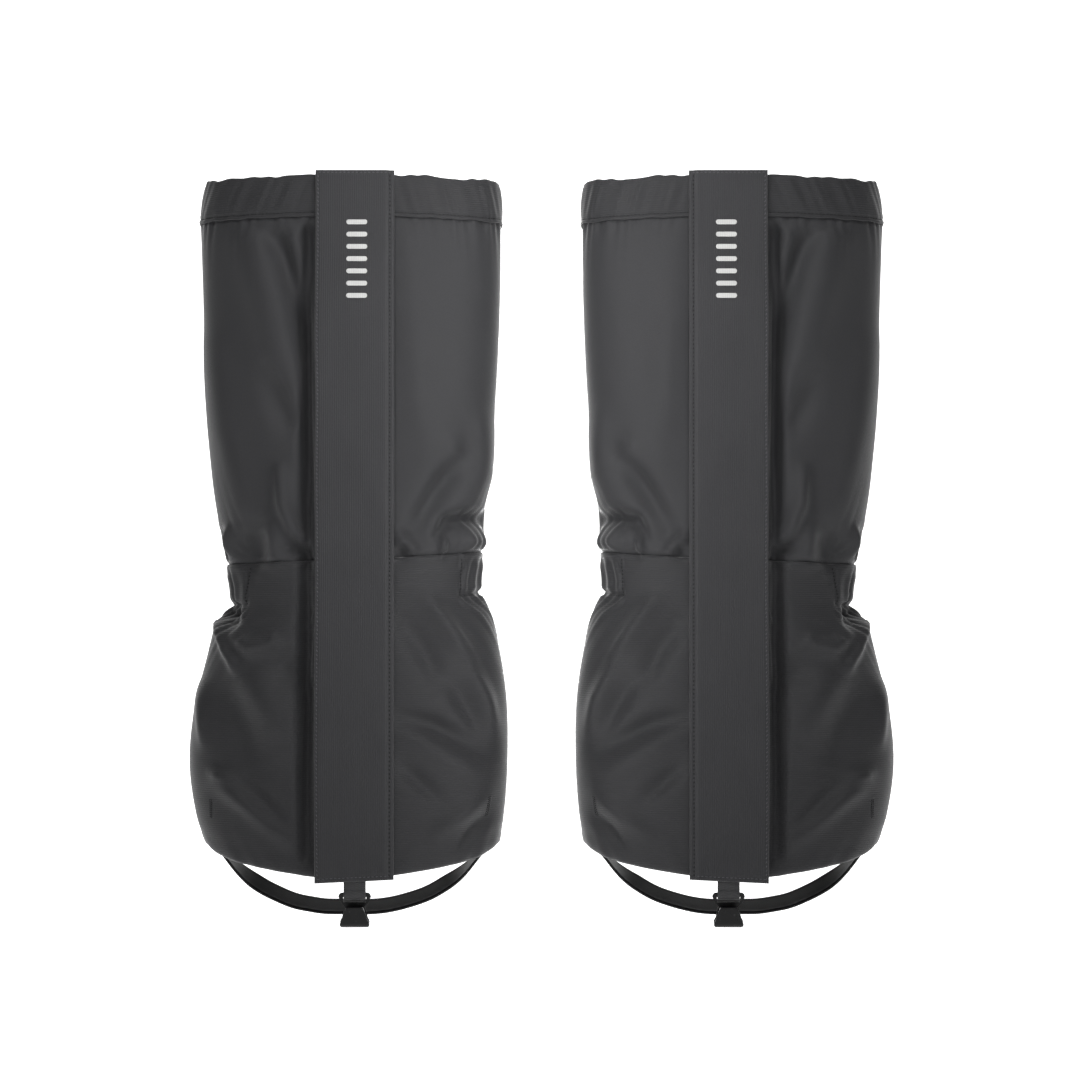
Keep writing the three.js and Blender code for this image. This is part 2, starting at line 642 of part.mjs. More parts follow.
/** The fabric tube with its casings, elastics and tapes. */
function legTube(side) {
  const { upperFabric, lowerFabric, tape, elastic } = FINISHES;
  const tube = new THREE.Group();
  tube.add(
    piece(`${side}_upper_outer_panel`, panel(OUTER_SIDE, UPPER), upperFabric),
    piece(`${side}_upper_inner_panel`, panel(INNER_SIDE, UPPER), upperFabric),
    piece(`${side}_lower_outer_panel`, panel(OUTER_SIDE, LOWER), lowerFabric),
    piece(`${side}_lower_inner_panel`, panel(INNER_SIDE, LOWER), lowerFabric),
    piece(`${side}_top_casing_outer`, topCasing(OUTER_SIDE), lowerFabric),
    piece(`${side}_top_casing_inner`, topCasing(INNER_SIDE), lowerFabric),
    piece(`${side}_top_elastic`, topElastic(), elastic),
    piece(
      `${side}_ankle_elastic`,
      ankleBand(ANKLE_ELASTIC_HEIGHT, ankleElasticInside, ELASTIC),
      elastic,
    ),
    piece(
      `${side}_ankle_casing`,
      ankleBand(ANKLE_CASING_HEIGHT, ankleCasingInside, CASING_WALL),
      tape,
    ),
    piece(`${side}_back_seam_tape`, backSeamTape(), tape),
    piece(`${side}_loop_tape`, loopTape(), tape),
    piece(`${side}_flap_seam_binding`, flapBinding(), lowerFabric),
  );
  return tube;
}

/** The closure flap with its hook tape, on the hinge line beside the sewn edge. */
function closureFlap(side) {
  const hinge = frontFrame(`${side}_flap_hinge`, FLAP_HINGE_X, 0, FLAP_HINGE_OUT);
  hinge.add(
    piece(`${side}_front_flap`, flapGeometry(), FINISHES.lowerFabric),
    piece(`${side}_flap_hook_tape`, hookTapeGeometry(), FINISHES.tape),
  );
  return hinge;
}

/** The lace hook hanging from its tab. */
function laceHook(side) {
  const group = frontFrame(`${side}_tab_frame`, TAB_X, -HOOK_BAR_DROP, TAB_OUT);
  group.add(piece(`${side}_hook_tab`, tabGeometry(), FINISHES.webbing));
  const bar = new THREE.Group();
  bar.name = `${side}_hook_hinge`;
  bar.position.copy(group.position);
  const geometry = toGeometry(laceHookSolid());
  bar.rotation.x = Math.PI / 2 + hangingAngle(geometry);
  bar.add(piece(`${side}_lace_hook`, geometry, FINISHES.hookMetal));
  return [group, bar];
}

/** The instep strap and its two sewn ends. */
function instepStrap(side) {
  const strap = new THREE.Group();
  strap.add(
    piece(`${side}_strap_anchor_outer`, anchorGeometry(OUTSIDE), FINISHES.webbing),
    piece(`${side}_strap_anchor_inner`, anchorGeometry(INSIDE), FINISHES.webbing),
    piece(`${side}_instep_strap`, strapGeometry(), FINISHES.webbing),
  );
  const hinge = new THREE.Group();
  hinge.name = `${side}_strap_hinge`;
  hinge.position.z = STRAP_MOUTH_Z;
  strap.add(hinge);
  return strap;
}

/** One gaiter, with the outer side of the leg at -X. */
function gaiter(side) {
  const group = new THREE.Group();
  group.name = `${side}_gaiter`;
  group.add(legTube(side), closureFlap(side), ...laceHook(side), instepStrap(side));
  return group;
}

const pair = new THREE.Group();
const left = gaiter('left');
left.position.x = -PAIR_SPACING / 2;
const right = gaiter('right');
right.position.x = PAIR_SPACING / 2;
right.scale.x = -1;
pair.add(left, right);

// The origin is under the middle of the pair.
pair.updateMatrixWorld(true);
const extent = new THREE.Box3().setFromObject(pair, true);
const middle = extent.getCenter(new THREE.Vector3());
pair.position.set(-middle.x, -middle.y, -extent.min.z);

export default pair;
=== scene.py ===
"""A pair of knee-high gaiters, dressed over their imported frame.

The leg tubes are cloth that is simulated once and mirrored, cut at its seams into panels,
and finished with stitching, tapes, webbing and a bent metal lace hook.
"""
import json
import logging
import math
from dataclasses import dataclass, field, replace
from enum import Enum
from typing import Any, Callable, Optional, Sequence, Union

import bmesh
import bpy
import numpy as np
from mathutils import Matrix, Vector

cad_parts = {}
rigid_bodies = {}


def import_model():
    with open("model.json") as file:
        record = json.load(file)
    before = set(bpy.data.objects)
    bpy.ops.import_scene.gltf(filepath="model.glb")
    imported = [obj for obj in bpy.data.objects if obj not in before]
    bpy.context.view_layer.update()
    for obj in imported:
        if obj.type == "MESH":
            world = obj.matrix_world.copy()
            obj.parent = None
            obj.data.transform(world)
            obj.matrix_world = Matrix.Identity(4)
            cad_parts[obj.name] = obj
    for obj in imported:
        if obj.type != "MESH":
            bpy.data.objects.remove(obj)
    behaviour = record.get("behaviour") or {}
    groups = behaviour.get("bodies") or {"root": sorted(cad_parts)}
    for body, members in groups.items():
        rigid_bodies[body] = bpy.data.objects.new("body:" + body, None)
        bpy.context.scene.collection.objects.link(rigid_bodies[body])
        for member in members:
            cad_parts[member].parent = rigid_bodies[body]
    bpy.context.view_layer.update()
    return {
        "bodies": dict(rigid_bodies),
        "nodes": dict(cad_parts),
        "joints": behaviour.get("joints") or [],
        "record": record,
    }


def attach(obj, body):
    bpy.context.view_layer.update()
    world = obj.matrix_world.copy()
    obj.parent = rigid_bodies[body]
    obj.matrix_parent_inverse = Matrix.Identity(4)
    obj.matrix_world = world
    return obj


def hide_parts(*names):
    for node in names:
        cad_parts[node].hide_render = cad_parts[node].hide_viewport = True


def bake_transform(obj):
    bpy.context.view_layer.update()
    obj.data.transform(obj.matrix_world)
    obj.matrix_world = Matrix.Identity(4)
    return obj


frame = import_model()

LOG = logging.getLogger("gaiters")
MM = 0.001
Array = np.ndarray
Placer = Callable[[Array, Array], tuple[Array, Array]]
Line = Callable[[Array], Array]
FOLD_GAIN = 2.3  # how much deeper the cloth's folds are than their drawn heights
SHIN_LEAN = 0.037109  # radians that the shin's front line leans back
STRAP_MOUTH = 22 * MM  # height of the strap's hinge above the front hem


class Side(Enum):
    """The two gaiters of the pair."""

    LEFT = "left"
    RIGHT = "right"


class Ribs(Enum):
    """Which way a fabric's ribs run."""

    LEVEL = "level"
    UPRIGHT = "upright"
    NONE = "none"


# ---- Shader maths ----
class Sock:
    """A shader socket that takes part in Python expressions."""

    def __init__(self, shader: "Shader", socket: Any) -> None:
        """Wraps a socket.

        Args:
            shader: the material that the socket belongs to.
            socket: the output socket.
        """
        self.shader = shader
        self.socket = socket

    def maths(self, operation: str, *values: Any, clamp: bool = False) -> "Sock":
        """Adds a Math node on this value.

        Args:
            operation: the Math node's operation.
            values: its other inputs.
            clamp: whether the result is kept within 0 and 1.

        Returns:
            The result.
        """
        settings = {"operation": operation, "use_clamp": clamp}
        inputs = {i: value for i, value in enumerate((self, *values))}
        return self.shader.node("ShaderNodeMath", settings, inputs).out(0)

    def __add__(self, other: Any) -> "Sock":
        """This plus another."""
        return self.maths("ADD", other)

    __radd__ = __add__

    def __mul__(self, other: Any) -> "Sock":
        """This times another."""
        return self.maths("MULTIPLY", other)

    __rmul__ = __mul__

    def __sub__(self, other: Any) -> "Sock":
        """This less another."""
        return self.maths("SUBTRACT", other)

    def __rsub__(self, other: Any) -> "Sock":
        """Another less this."""
        return self.maths("MULTIPLY_ADD", -1.0, other)

    def wave(self, pitch: float) -> "Sock":
        """A sine of this length, from 0 to 1.

        Args:
            pitch: length of one wave.

        Returns:
            The wave.
        """
        return (self * (2 * math.pi / pitch)).maths("SINE") * 0.5 + 0.5

    def between(self, low: float, high: float) -> "Sock":
        """Where this lies between two values, kept within 0 and 1."""
        return (self - low).maths("DIVIDE", high - low, clamp=True)


class Node:
    """A shader node in an expression."""

    def __init__(self, shader: "Shader", node: Any) -> None:
        """Wraps a node of a shader."""
        self.shader = shader
        self.node = node

    def out(self, key: Union[int, str] = 0) -> Sock:
        """One of the node's outputs."""
        return Sock(self.shader, self.node.outputs[key])


class Shader:
    """A material that is being built."""

    def __init__(self, name: str) -> None:
        """Starts a material with an output and nothing else.

        Args:
            name: the material's name.
        """
        self.material = bpy.data.materials.new(name)
        self.material.use_nodes = True
        self.tree = self.material.node_tree
        self.tree.nodes.clear()

    def node(self, kind: str, settings: dict[str, Any], inputs: dict[Any, Any]) -> Node:
        """Adds a node.

        Args:
            kind: the node's type.
            settings: its properties, which are set first; "stops" gives a ramp's colours.
            inputs: values or links for its sockets, by name or number.

        Returns:
            The node.
        """
        made = self.tree.nodes.new(kind)
        for key, value in settings.items():
            if key == "stops":
                for spot, (position, colour) in zip(made.color_ramp.elements, value):
                    spot.position, spot.color = position, colour
            else:
                setattr(made, key, value)
        for key, value in inputs.items():
            if isinstance(value, Sock):
                self.tree.links.new(value.socket, made.inputs[key])
            else:
                made.inputs[key].default_value = value
        return Node(self, made)

    def coordinates(self, uv: bool) -> Sock:
        """The piece's own UV map, in metres of cloth, or its place."""
        node = self.node("ShaderNodeTexCoord", {}, {})
        return node.out("UV" if uv else "Object")

    def split(self, vector: Sock) -> tuple[Sock, Sock, Sock]:
        """The three parts of a vector."""
        node = self.node("ShaderNodeSeparateXYZ", {}, {0: vector})
        return node.out(0), node.out(1), node.out(2)

    def noise(self, vector: Sock, scale: float, detail: float = 2.0) -> Sock:
        """A noise from 0 to 1 at so many features a metre."""
        inputs = {"Vector": vector, "Scale": scale, "Detail": detail, "Roughness": 0.55}
        return self.node("ShaderNodeTexNoise", {}, inputs).out(0)

    def blend(self, share: Sock, first: Sequence[float], second: Sequence[float]) -> Sock:
        """Mixes two colours.

        Args:
            share: how much of the second colour shows.
            first: linear red, green and blue.
            second: linear red, green and blue.

        Returns:
            The mixed colour.
        """
        inputs = {0: share, 6: (*first, 1.0), 7: (*second, 1.0)}
        return self.node("ShaderNodeMix", {"data_type": "RGBA"}, inputs).out(2)

    def bump(self, height: Sock, distance: float, strength: float = 1.0) -> Sock:
        """A bump whose height is in units of a distance in metres."""
        inputs = {"Height": height, "Distance": distance, "Strength": strength}
        return self.node("ShaderNodeBump", {}, inputs).out(0)

    def surface(self, inputs: dict[str, Any]) -> bpy.types.Material:
        """Ends the material with a principled surface.

        Args:
            inputs: values or links for the surface's sockets.

        Returns:
            The finished material.
        """
        shader = self.node("ShaderNodeBsdfPrincipled", {}, inputs)
        self.node("ShaderNodeOutputMaterial", {}, {"Surface": shader.out(0)})
        return self.material


def grey(level: float, blue: float = 1.09) -> tuple[float, float, float]:
    """A neutral charcoal with a little blue in it."""
    return (level, level, level * blue)


# ---- Finishes ----
@dataclass(frozen=True)
class WovenFabric:
    """A coated woven fabric with a soft sheen."""

    name: str
    shade: float
    ribs: Ribs
    rib_pitch: float = 1.35 * MM
    rib_depth: float = 0.10 * MM
    yarn_pitch: float = 0.62 * MM
    roughness: float = 0.56
    sheen: float = 0.14

    def material(self) -> bpy.types.Material:
        """Builds the fabric: ribs, yarns, uneven dye, painted shade in the rib grooves, and rubbed
        edges.

        Returns:
            The finished material.
        """
        shader = Shader(self.name)
        cloth = shader.coordinates(uv=True)
        across, along, _ = shader.split(cloth)
        if self.ribs is Ribs.UPRIGHT:
            across, along = along, across
        slub = shader.noise(cloth, 900.0, 3.0)
        mottle = shader.noise(cloth, 22.0, 3.0)
        yarn = across.wave(self.yarn_pitch)
        if self.ribs is Ribs.NONE:
            weft = along.wave(self.yarn_pitch)
            height = yarn * weft + slub * 0.6
        else:
            height = along.wave(self.rib_pitch) * 0.9 + yarn * 0.25 + slub * 0.7
        rubbed = shader.node("ShaderNodeAttribute", {"attribute_name": "rub"}, {}).out("Fac")
        scuff = (rubbed * slub.between(0.35, 0.75)) * 0.55
        # The tone follows the bump's height, so painted shade darkens the grooves between the ribs
        # and yarns. The mottle and slub add uneven dye.
        tone_with_groove_shade = (height * 0.34 + mottle * 0.45 + slub * 0.55 - 0.25) + scuff
        colour = shader.blend(
            tone_with_groove_shade.maths("MULTIPLY", 1.0, clamp=True),
            grey(self.shade * 0.72),
            grey(self.shade * 1.34, 1.07),
        )
        return shader.surface({
            "Base Color": colour,
            "Roughness": (mottle - 0.5) * 0.16 + self.roughness + scuff * 0.2,
            "Specular IOR Level": 0.15,
            "Sheen Weight": self.sheen,
            "Sheen Roughness": 0.45,
            "Normal": shader.bump(height, self.rib_depth, 0.85),
        })


@dataclass(frozen=True)
class Webbing:
    """Close-woven narrow tape with raised cross ribs."""

    name: str
    shade: float
    pitch: float = 1.3 * MM
    depth: float = 0.16 * MM
    roughness: float = 0.62

    def material(self) -> bpy.types.Material:
        """Builds the tape's herringbone ribs and fuzz, with painted shade in the grooves between the
        ribs.

        Returns:
            The finished material.
        """
        shader = Shader(self.name)
        cloth = shader.coordinates(uv=True)
        across, along, _ = shader.split(cloth)
        zigzag = (across * (1.0 / (3.2 * MM))).maths("PINGPONG", 1.0)
        rib = (along + zigzag * (1.1 * MM)).wave(self.pitch)
        fuzz = shader.noise(cloth, 1500.0, 3.0)
        height = rib * 0.8 + across.wave(0.7 * MM) * 0.25 + fuzz * 0.4
        # The colour follows the bump's height: painted shade darkens the grooves, and the rib tops
        # are lighter.
        colour = shader.blend(
            height * 0.7, grey(self.shade * 0.7), grey(self.shade * 1.4)
        )
        return shader.surface({
            "Base Color": colour,
            "Roughness": fuzz * 0.2 + (self.roughness - 0.1),
            "Specular IOR Level": 0.35,
            "Sheen Weight": 0.1,
            "Normal": shader.bump(height, self.depth),
        })


@dataclass(frozen=True)
class MouldedStrap:
    """A smooth, slightly rubbery strap."""

    name: str
    shade: float = 0.004
    roughness: float = 0.40

    def material(self) -> bpy.types.Material:
        """Builds the fine grain and the scuffs along the strap's edges.

        Returns:
            The finished material.
        """
        shader = Shader(self.name)
        cloth = shader.coordinates(uv=True)
        across, _, _ = shader.split(cloth)
        grain = shader.noise(cloth, 1400.0, 4.0)
        scuffs = shader.noise(cloth, 160.0, 4.0).between(0.55, 0.85)
        edge = (across.maths("ABSOLUTE")).between(8.6 * MM, 9.9 * MM)
        worn = edge * 0.35 + scuffs * 0.25
        colour = shader.blend(worn, grey(self.shade), grey(self.shade * 2.2))
        return shader.surface({
            "Base Color": colour,
            "Roughness": grain * 0.18 + (self.roughness - 0.09) + scuffs * 0.1,
            "Specular IOR Level": 0.13,
            "Normal": shader.bump(grain, 0.06 * MM, 0.7),
        })


@dataclass(frozen=True)
class PaintedMetal:
    """Black satin paint on bent sheet metal."""

    name: str
    shade: float = 0.004
    roughness: float = 0.30

    def material(self) -> bpy.types.Material:
        """Builds the paint's orange peel, and rubbed paint where laces run.

        Returns:
            The finished material.
        """
        shader = Shader(self.name)
        place = shader.coordinates(uv=False)
        peel = shader.noise(place, 1600.0, 2.0)
        wear = shader.noise(place, 420.0, 4.0).between(0.62, 0.8)
        colour = shader.blend(wear * 0.6, grey(self.shade), grey(0.05, 1.03))
        return shader.surface({
            "Base Color": colour,
            "Metallic": wear * 0.2,
            "Roughness": peel * 0.14 + (self.roughness - 0.07),
            "Specular IOR Level": 0.14,
            "Normal": shader.bump(peel, 0.05 * MM, 0.6),
        })


@dataclass(frozen=True)
class Thread:
    """Twisted sewing thread."""

    name: str
    shade: float

    def material(self) -> bpy.types.Material:
        """Builds the thread's twist, with painted shade between its plies, and its uneven dye.

        Returns:
            The finished material.
        """
        shader = Shader(self.name)
        place = shader.coordinates(uv=False)
        x, y, z = shader.split(place)
        twist = (x + y + z).wave(0.42 * MM)
        lint = shader.noise(place, 2500.0, 2.0)
        # The twist that makes the bump also darkens the colour between the plies as painted shade.
        # The lint is uneven dye.
        colour = shader.blend(
            twist * 0.6 + lint * 0.3, grey(self.shade * 0.6), grey(self.shade * 1.4)
        )
        return shader.surface({
            "Base Color": colour,
            "Roughness": lint * 0.2 + 0.6,
            "Specular IOR Level": 0.2,
            "Normal": shader.bump(twist, 0.05 * MM),
        })


@dataclass(frozen=True)
class TouchTape:
    """One half of the touch closure: hooks or loops."""

    name: str
    shade: float
    scale: float
    depth: float

    def material(self) -> bpy.types.Material:
        """Builds the pile of the tape, with painted shade in the pile's hollows.

        Returns:
            The finished material.
        """
        shader = Shader(self.name)
        cloth = shader.coordinates(uv=True)
        inputs = {"Vector": cloth, "Scale": self.scale, "Randomness": 0.7}
        pile = shader.node("ShaderNodeTexVoronoi", {}, inputs).out("Distance")
        fuzz = shader.noise(cloth, 2200.0, 3.0)
        # The colour follows the bump's height: painted shade darkens the hollows of the pile.
        colour = shader.blend(
            fuzz * 0.6 + pile * 0.5, grey(self.shade * 0.55), grey(self.shade * 1.5)
        )
        return shader.surface({
            "Base Color": colour,
            "Roughness": fuzz * 0.15 + 0.75,
            "Sheen Weight": 0.25,
            "Normal": shader.bump(pile + fuzz * 0.5, self.depth),
        })


@dataclass(frozen=True)
class PaleInk:
    """Off-white screen ink that takes up the weave below it."""

    name: str = "pale_ink"

    def material(self) -> bpy.types.Material:
        """Builds the ink with its fine cracks, and painted shade in the weave's grooves below it.

        Returns:
            The finished material.
        """
        shader = Shader(self.name)
        cloth = shader.coordinates(uv=True)
        across, _, _ = shader.split(cloth)
        grain = shader.noise(cloth, 1800.0, 3.0)
        weave = across.wave(1.35 * MM)
        # The weave that makes the bump also darkens the ink in its grooves, as painted shade.
        colour = shader.blend(
            grain * 0.5 + weave * 0.25, (0.27, 0.27, 0.265), (0.42, 0.42, 0.415)
        )
        return shader.surface({
            "Base Color": colour,
            "Roughness": grain * 0.2 + 0.45,
            "Normal": shader.bump(weave + grain * 0.5, 0.05 * MM),
        })


@dataclass(frozen=True)
class PalePaper:
    """The white sweep that the pair stands before."""

    name: str = "pale_paper"
    glow: float = 1.0

    def material(self) -> bpy.types.Material:
        """Builds a matt white that is lit evenly.

        Returns:
            The finished material.
        """
        shader = Shader(self.name)
        grain = shader.noise(shader.coordinates(uv=False), 40.0, 2.0)
        colour = shader.blend(grain, (0.93, 0.93, 0.93), (0.95, 0.95, 0.95))
        return shader.surface({
            "Base Color": colour,
            "Roughness": 0.9,
            "Emission Color": (1.0, 1.0, 1.0, 1.0),
            "Emission Strength": self.glow,
        })


# ---- The leg tube's form ----
def smooth_curve(knots: Sequence[tuple[float, float]], at: Array) -> Array:
    """A smooth curve through knots, level beyond its ends.

    Args:
        knots: pairs of position and value.
        at: the positions wanted.

    Returns:
        The values there.
    """
    x, y = np.array(knots, float).T
    ends = np.arange(len(x))
    before, after = np.maximum(ends - 1, 0), np.minimum(ends + 1, len(x) - 1)
    slope = (y[after] - y[before]) / (x[after] - x[before])
    at = np.clip(at, x[0], x[-1])
    i = np.clip(np.searchsorted(x, at, side="right") - 1, 0, len(x) - 2)
    h = x[i + 1] - x[i]
    u = (at - x[i]) / h
    start = (1 + 2 * u) * (1 - u) ** 2 * y[i] + u * (1 - u) ** 2 * h * slope[i]
    return start + u * u * (3 - 2 * u) * y[i + 1] + u * u * (u - 1) * h * slope[i + 1]


def bell(distance: Array, width: float) -> Array:
    """A soft bump, 1 at nought and fading over a width."""
    return np.exp(-((distance / width) ** 2))


def step(at: Array, low: float, high: float) -> Array:
    """A smooth step from 0 at low to 1 at high."""
    t = np.clip((at - low) / (high - low), 0, 1)
    return t * t * (3 - 2 * t)


def ripple(at: Array, length: float, seed: float) -> Array:
    """Uneven waves, about -1 to 1, as gathered cloth makes.

    Args:
        at: distance along the cloth, in metres.
        length: a typical wave's length.
        seed: sets the phases.

    Returns:
        The waves' height.
    """
    k = 2 * math.pi / length
    first = np.sin(k * at + seed + 1.3 * np.sin(k * 0.31 * at + 2 * seed))
    second = np.sin(k * 0.62 * at + 2.3 * seed)
    return 0.62 * first + 0.38 * second


def beneath_flap(found: Array, sewn: float) -> Array:
    """Where the flap covers the cloth.

    Args:
        found: points, whose first two numbers are x and y.
        sewn: where the cover starts to fade towards the flap's sewn edge.

    Returns:
        1 beneath the flap, fading to 0 beyond both of its long edges.
    """
    x = found[..., 0]
    free = step(x, -24 * MM, -19 * MM)
    return (found[..., 1] < 0) * free * step(-x, -sewn - 5 * MM, -sewn)


@dataclass(frozen=True)
class Widths:
    """How one half of the tube runs up the leg, in millimetres."""

    hem: float
    foot: float
    ankle: float
    calf: float
    rim: float
    shares: tuple[float, ...]

    def at(self, level: Array) -> Array:
        """The half-width at a level.

        Args:
            level: levels.

        Returns:
            The half-widths in metres.
        """
        narrow = [self.foot + (self.ankle - self.foot) * s for s in self.shares[:3]]
        wide = [self.ankle + (self.calf - self.ankle) * s for s in self.shares[3:]]
        knots = [
            (0, self.hem), (0.11, self.hem + 0.62 * (self.foot - self.hem)),
            (0.3, self.foot), (0.5, narrow[0]), (0.67, narrow[1]), (0.79, narrow[2]),
            (0.865, self.ankle), (1.0, wide[0]), (1.1, wide[1]), (1.26, wide[2]),
            (1.5, wide[3]), (1.8, wide[4]), (2.0, self.calf), (3.0, self.rim),
        ]
        return smooth_curve(knots, level) * MM


@dataclass(frozen=True)
class LegForm:
    """The tube's smooth form. Level 0 is the hem, 1 the cross seam, 2 the casing, 3 the rim."""

    outer: Widths = Widths(88.6, 99.5, 73, 92, 88, (0.13, 0.41, 0.64, 0.17, 0.39, 0.65, 0.84, 0.95))
    inner: Widths = Widths(91.9, 97.4, 79.7, 92.9, 91, (0.04, 0.29, 0.59, 0.1, 0.21, 0.47, 0.8, 0.99))
    back: Widths = Widths(46, 52, 22, 39, 34, (0.15, 0.45, 0.75, 0.08, 0.25, 0.55, 0.9, 1.0))
    front_hem: float = 50 * MM
    front_rim: float = 34 * MM
    seam: float = 198.2 * MM
    rim: float = 431 * MM
    casing: float = 26 * MM
    hem_side: float = 20 * MM
    roundness: float = 2.4
    inner_edge: float = 20.5 * MM
    outer_edge: float = 17.5 * MM

    def height(self, level: Array, angle: Array) -> Array:
        """Height above the front hem.

        Args:
            level: levels.
            angle: angles round the tube.

        Returns:
            The heights in metres.
        """
        c, s = np.cos(angle), np.sin(angle)
        share = smooth_curve(
            [(0, 0.02), (0.44, 0.3), (0.75, 0.55), (0.88, 0.72), (1, 1)], np.abs(c)
        )
        hem = self.hem_side * np.where(s > 0, 1.0, share)
        share = np.where(s < 0, 1 - 0.6 * np.abs(c) ** 1.67, 0.4 - 1.4 * np.abs(s) ** 0.7)
        rim = self.rim + 5 * MM * share
        marks = np.stack([hem, self.seam + 3.8 * MM * c, rim - self.casing, rim])
        i = np.clip(np.floor(level).astype(int), 0, 2)
        low = np.take_along_axis(marks, i[None], 0)[0]
        high = np.take_along_axis(marks, i[None] + 1, 0)[0]
        return low + (high - low) * (level - i)

    def point(self, level: Array, angle: Array, offset: float = 0.0) -> Array:
        """Points on the tube, moved out along its section's normal.

        Args:
            level: level of each point.
            angle: angle round the tube: 0 the inner side, a quarter turn the back.
            offset: distance out.

        Returns:
            An array of points with the leg's axis at x = y = 0.
        """
        z = self.height(level, angle)
        c, s = np.cos(angle), np.sin(angle)
        a = np.where(c < 0, self.outer.at(level), self.inner.at(level))
        front = self.front_hem + (self.front_rim - self.front_hem) * z / self.rim
        b = np.where(s < 0, front, self.back.at(level))
        power = 2 / self.roundness
        x = np.sign(c) * a * np.abs(c) ** power
        y = np.sign(s) * b * np.abs(s) ** power
        nx = np.sign(c) * np.abs(x / a) ** (self.roundness - 1) / a
        ny = np.sign(s) * np.abs(y / b) ** (self.roundness - 1) / b
        size = np.hypot(nx, ny)
        return np.stack([x + nx / size * offset, y + ny / size * offset, z], -1)

    def front_angle(self, x: float, level: Array) -> Array:
        """Angle, from half a turn to a whole one, of a line on the front."""
        half = self.inner.at(level) if x > 0 else self.outer.at(level)
        c = math.copysign(1.0, x) * (abs(x) / half) ** (self.roundness / 2)
        return 2 * np.pi - np.arccos(c)

    def angle_at(self, s: Array, level: Array) -> Array:
        """Angle at a share of the way round.

        Args:
            s: share of the way from the inner panels' edge under the flap to the outer ones'.
            level: levels.

        Returns:
            The angles.
        """
        first = self.front_angle(self.inner_edge, level) - 2 * np.pi
        return first + (self.front_angle(self.outer_edge, level) - first) * s

    def share_at(self, angle: Array, level: Array) -> Array:
        """Share of the way round at an angle.

        Args:
            angle: angle round the tube.
            level: levels.

        Returns:
            The shares.
        """
        first = self.front_angle(self.inner_edge, level) - 2 * np.pi
        return (angle - first) / (self.front_angle(self.outer_edge, level) - first)

    def lower_tall(self) -> float:
        """Height of the lower panels at the leg's sides."""
        return self.seam - self.hem_side


LEVEL_STOPS = (0.0, 0.43, 0.937, 1.0)


def level_of(t: Array) -> Array:
    """Level at a share of the tube's height."""
    return np.interp(t, LEVEL_STOPS, (0, 1, 2, 3))


def share_of(level: Array) -> Array:
    """Share of the tube's height at a level."""
    return np.interp(level, (0, 1, 2, 3), LEVEL_STOPS)


@dataclass(frozen=True)
class Fold:
    """A ridge, or a valley where its height is negative, along a line of (x, z) in millimetres."""

    line: tuple[tuple[float, float], ...]
    height: float
    width: float
    behind: bool = False
    sharp: float = 2.0

    def lift(self, x: Array, z: Array, y: Array) -> Array:
        """How far the fold lifts each point.

        Args:
            x: places across the leg, in metres.
            z: heights, in metres.
            y: depths, which tell front from back.

        Returns:
            The lift in metres.
        """
        best = np.full(x.shape, 1e9)
        along = np.zeros(x.shape)
        spots = np.array(self.line) * MM
        lengths = np.linalg.norm(np.diff(spots, axis=0), axis=1)
        total = lengths.sum()
        done = 0.0
        for a, b, length in zip(spots[:-1], spots[1:], lengths):
            d = b - a
            t = np.clip(((x - a[0]) * d[0] + (z - a[1]) * d[1]) / (length**2), 0, 1)
            away = np.hypot(x - a[0] - t * d[0], z - a[1] - t * d[1])
            nearer = away < best
            best = np.where(nearer, away, best)
            along = np.where(nearer, (done + t * length) / total, along)
            done += length
        taper = np.sin(np.pi * np.clip(along * 0.86 + 0.07, 0, 1)) ** 0.6
        side = step(y * (1 if self.behind else -1), -0.004, 0.008)
        reach = np.exp(-((best / (self.width * MM)) ** self.sharp))
        return FOLD_GAIN * self.height * MM * reach * taper * side


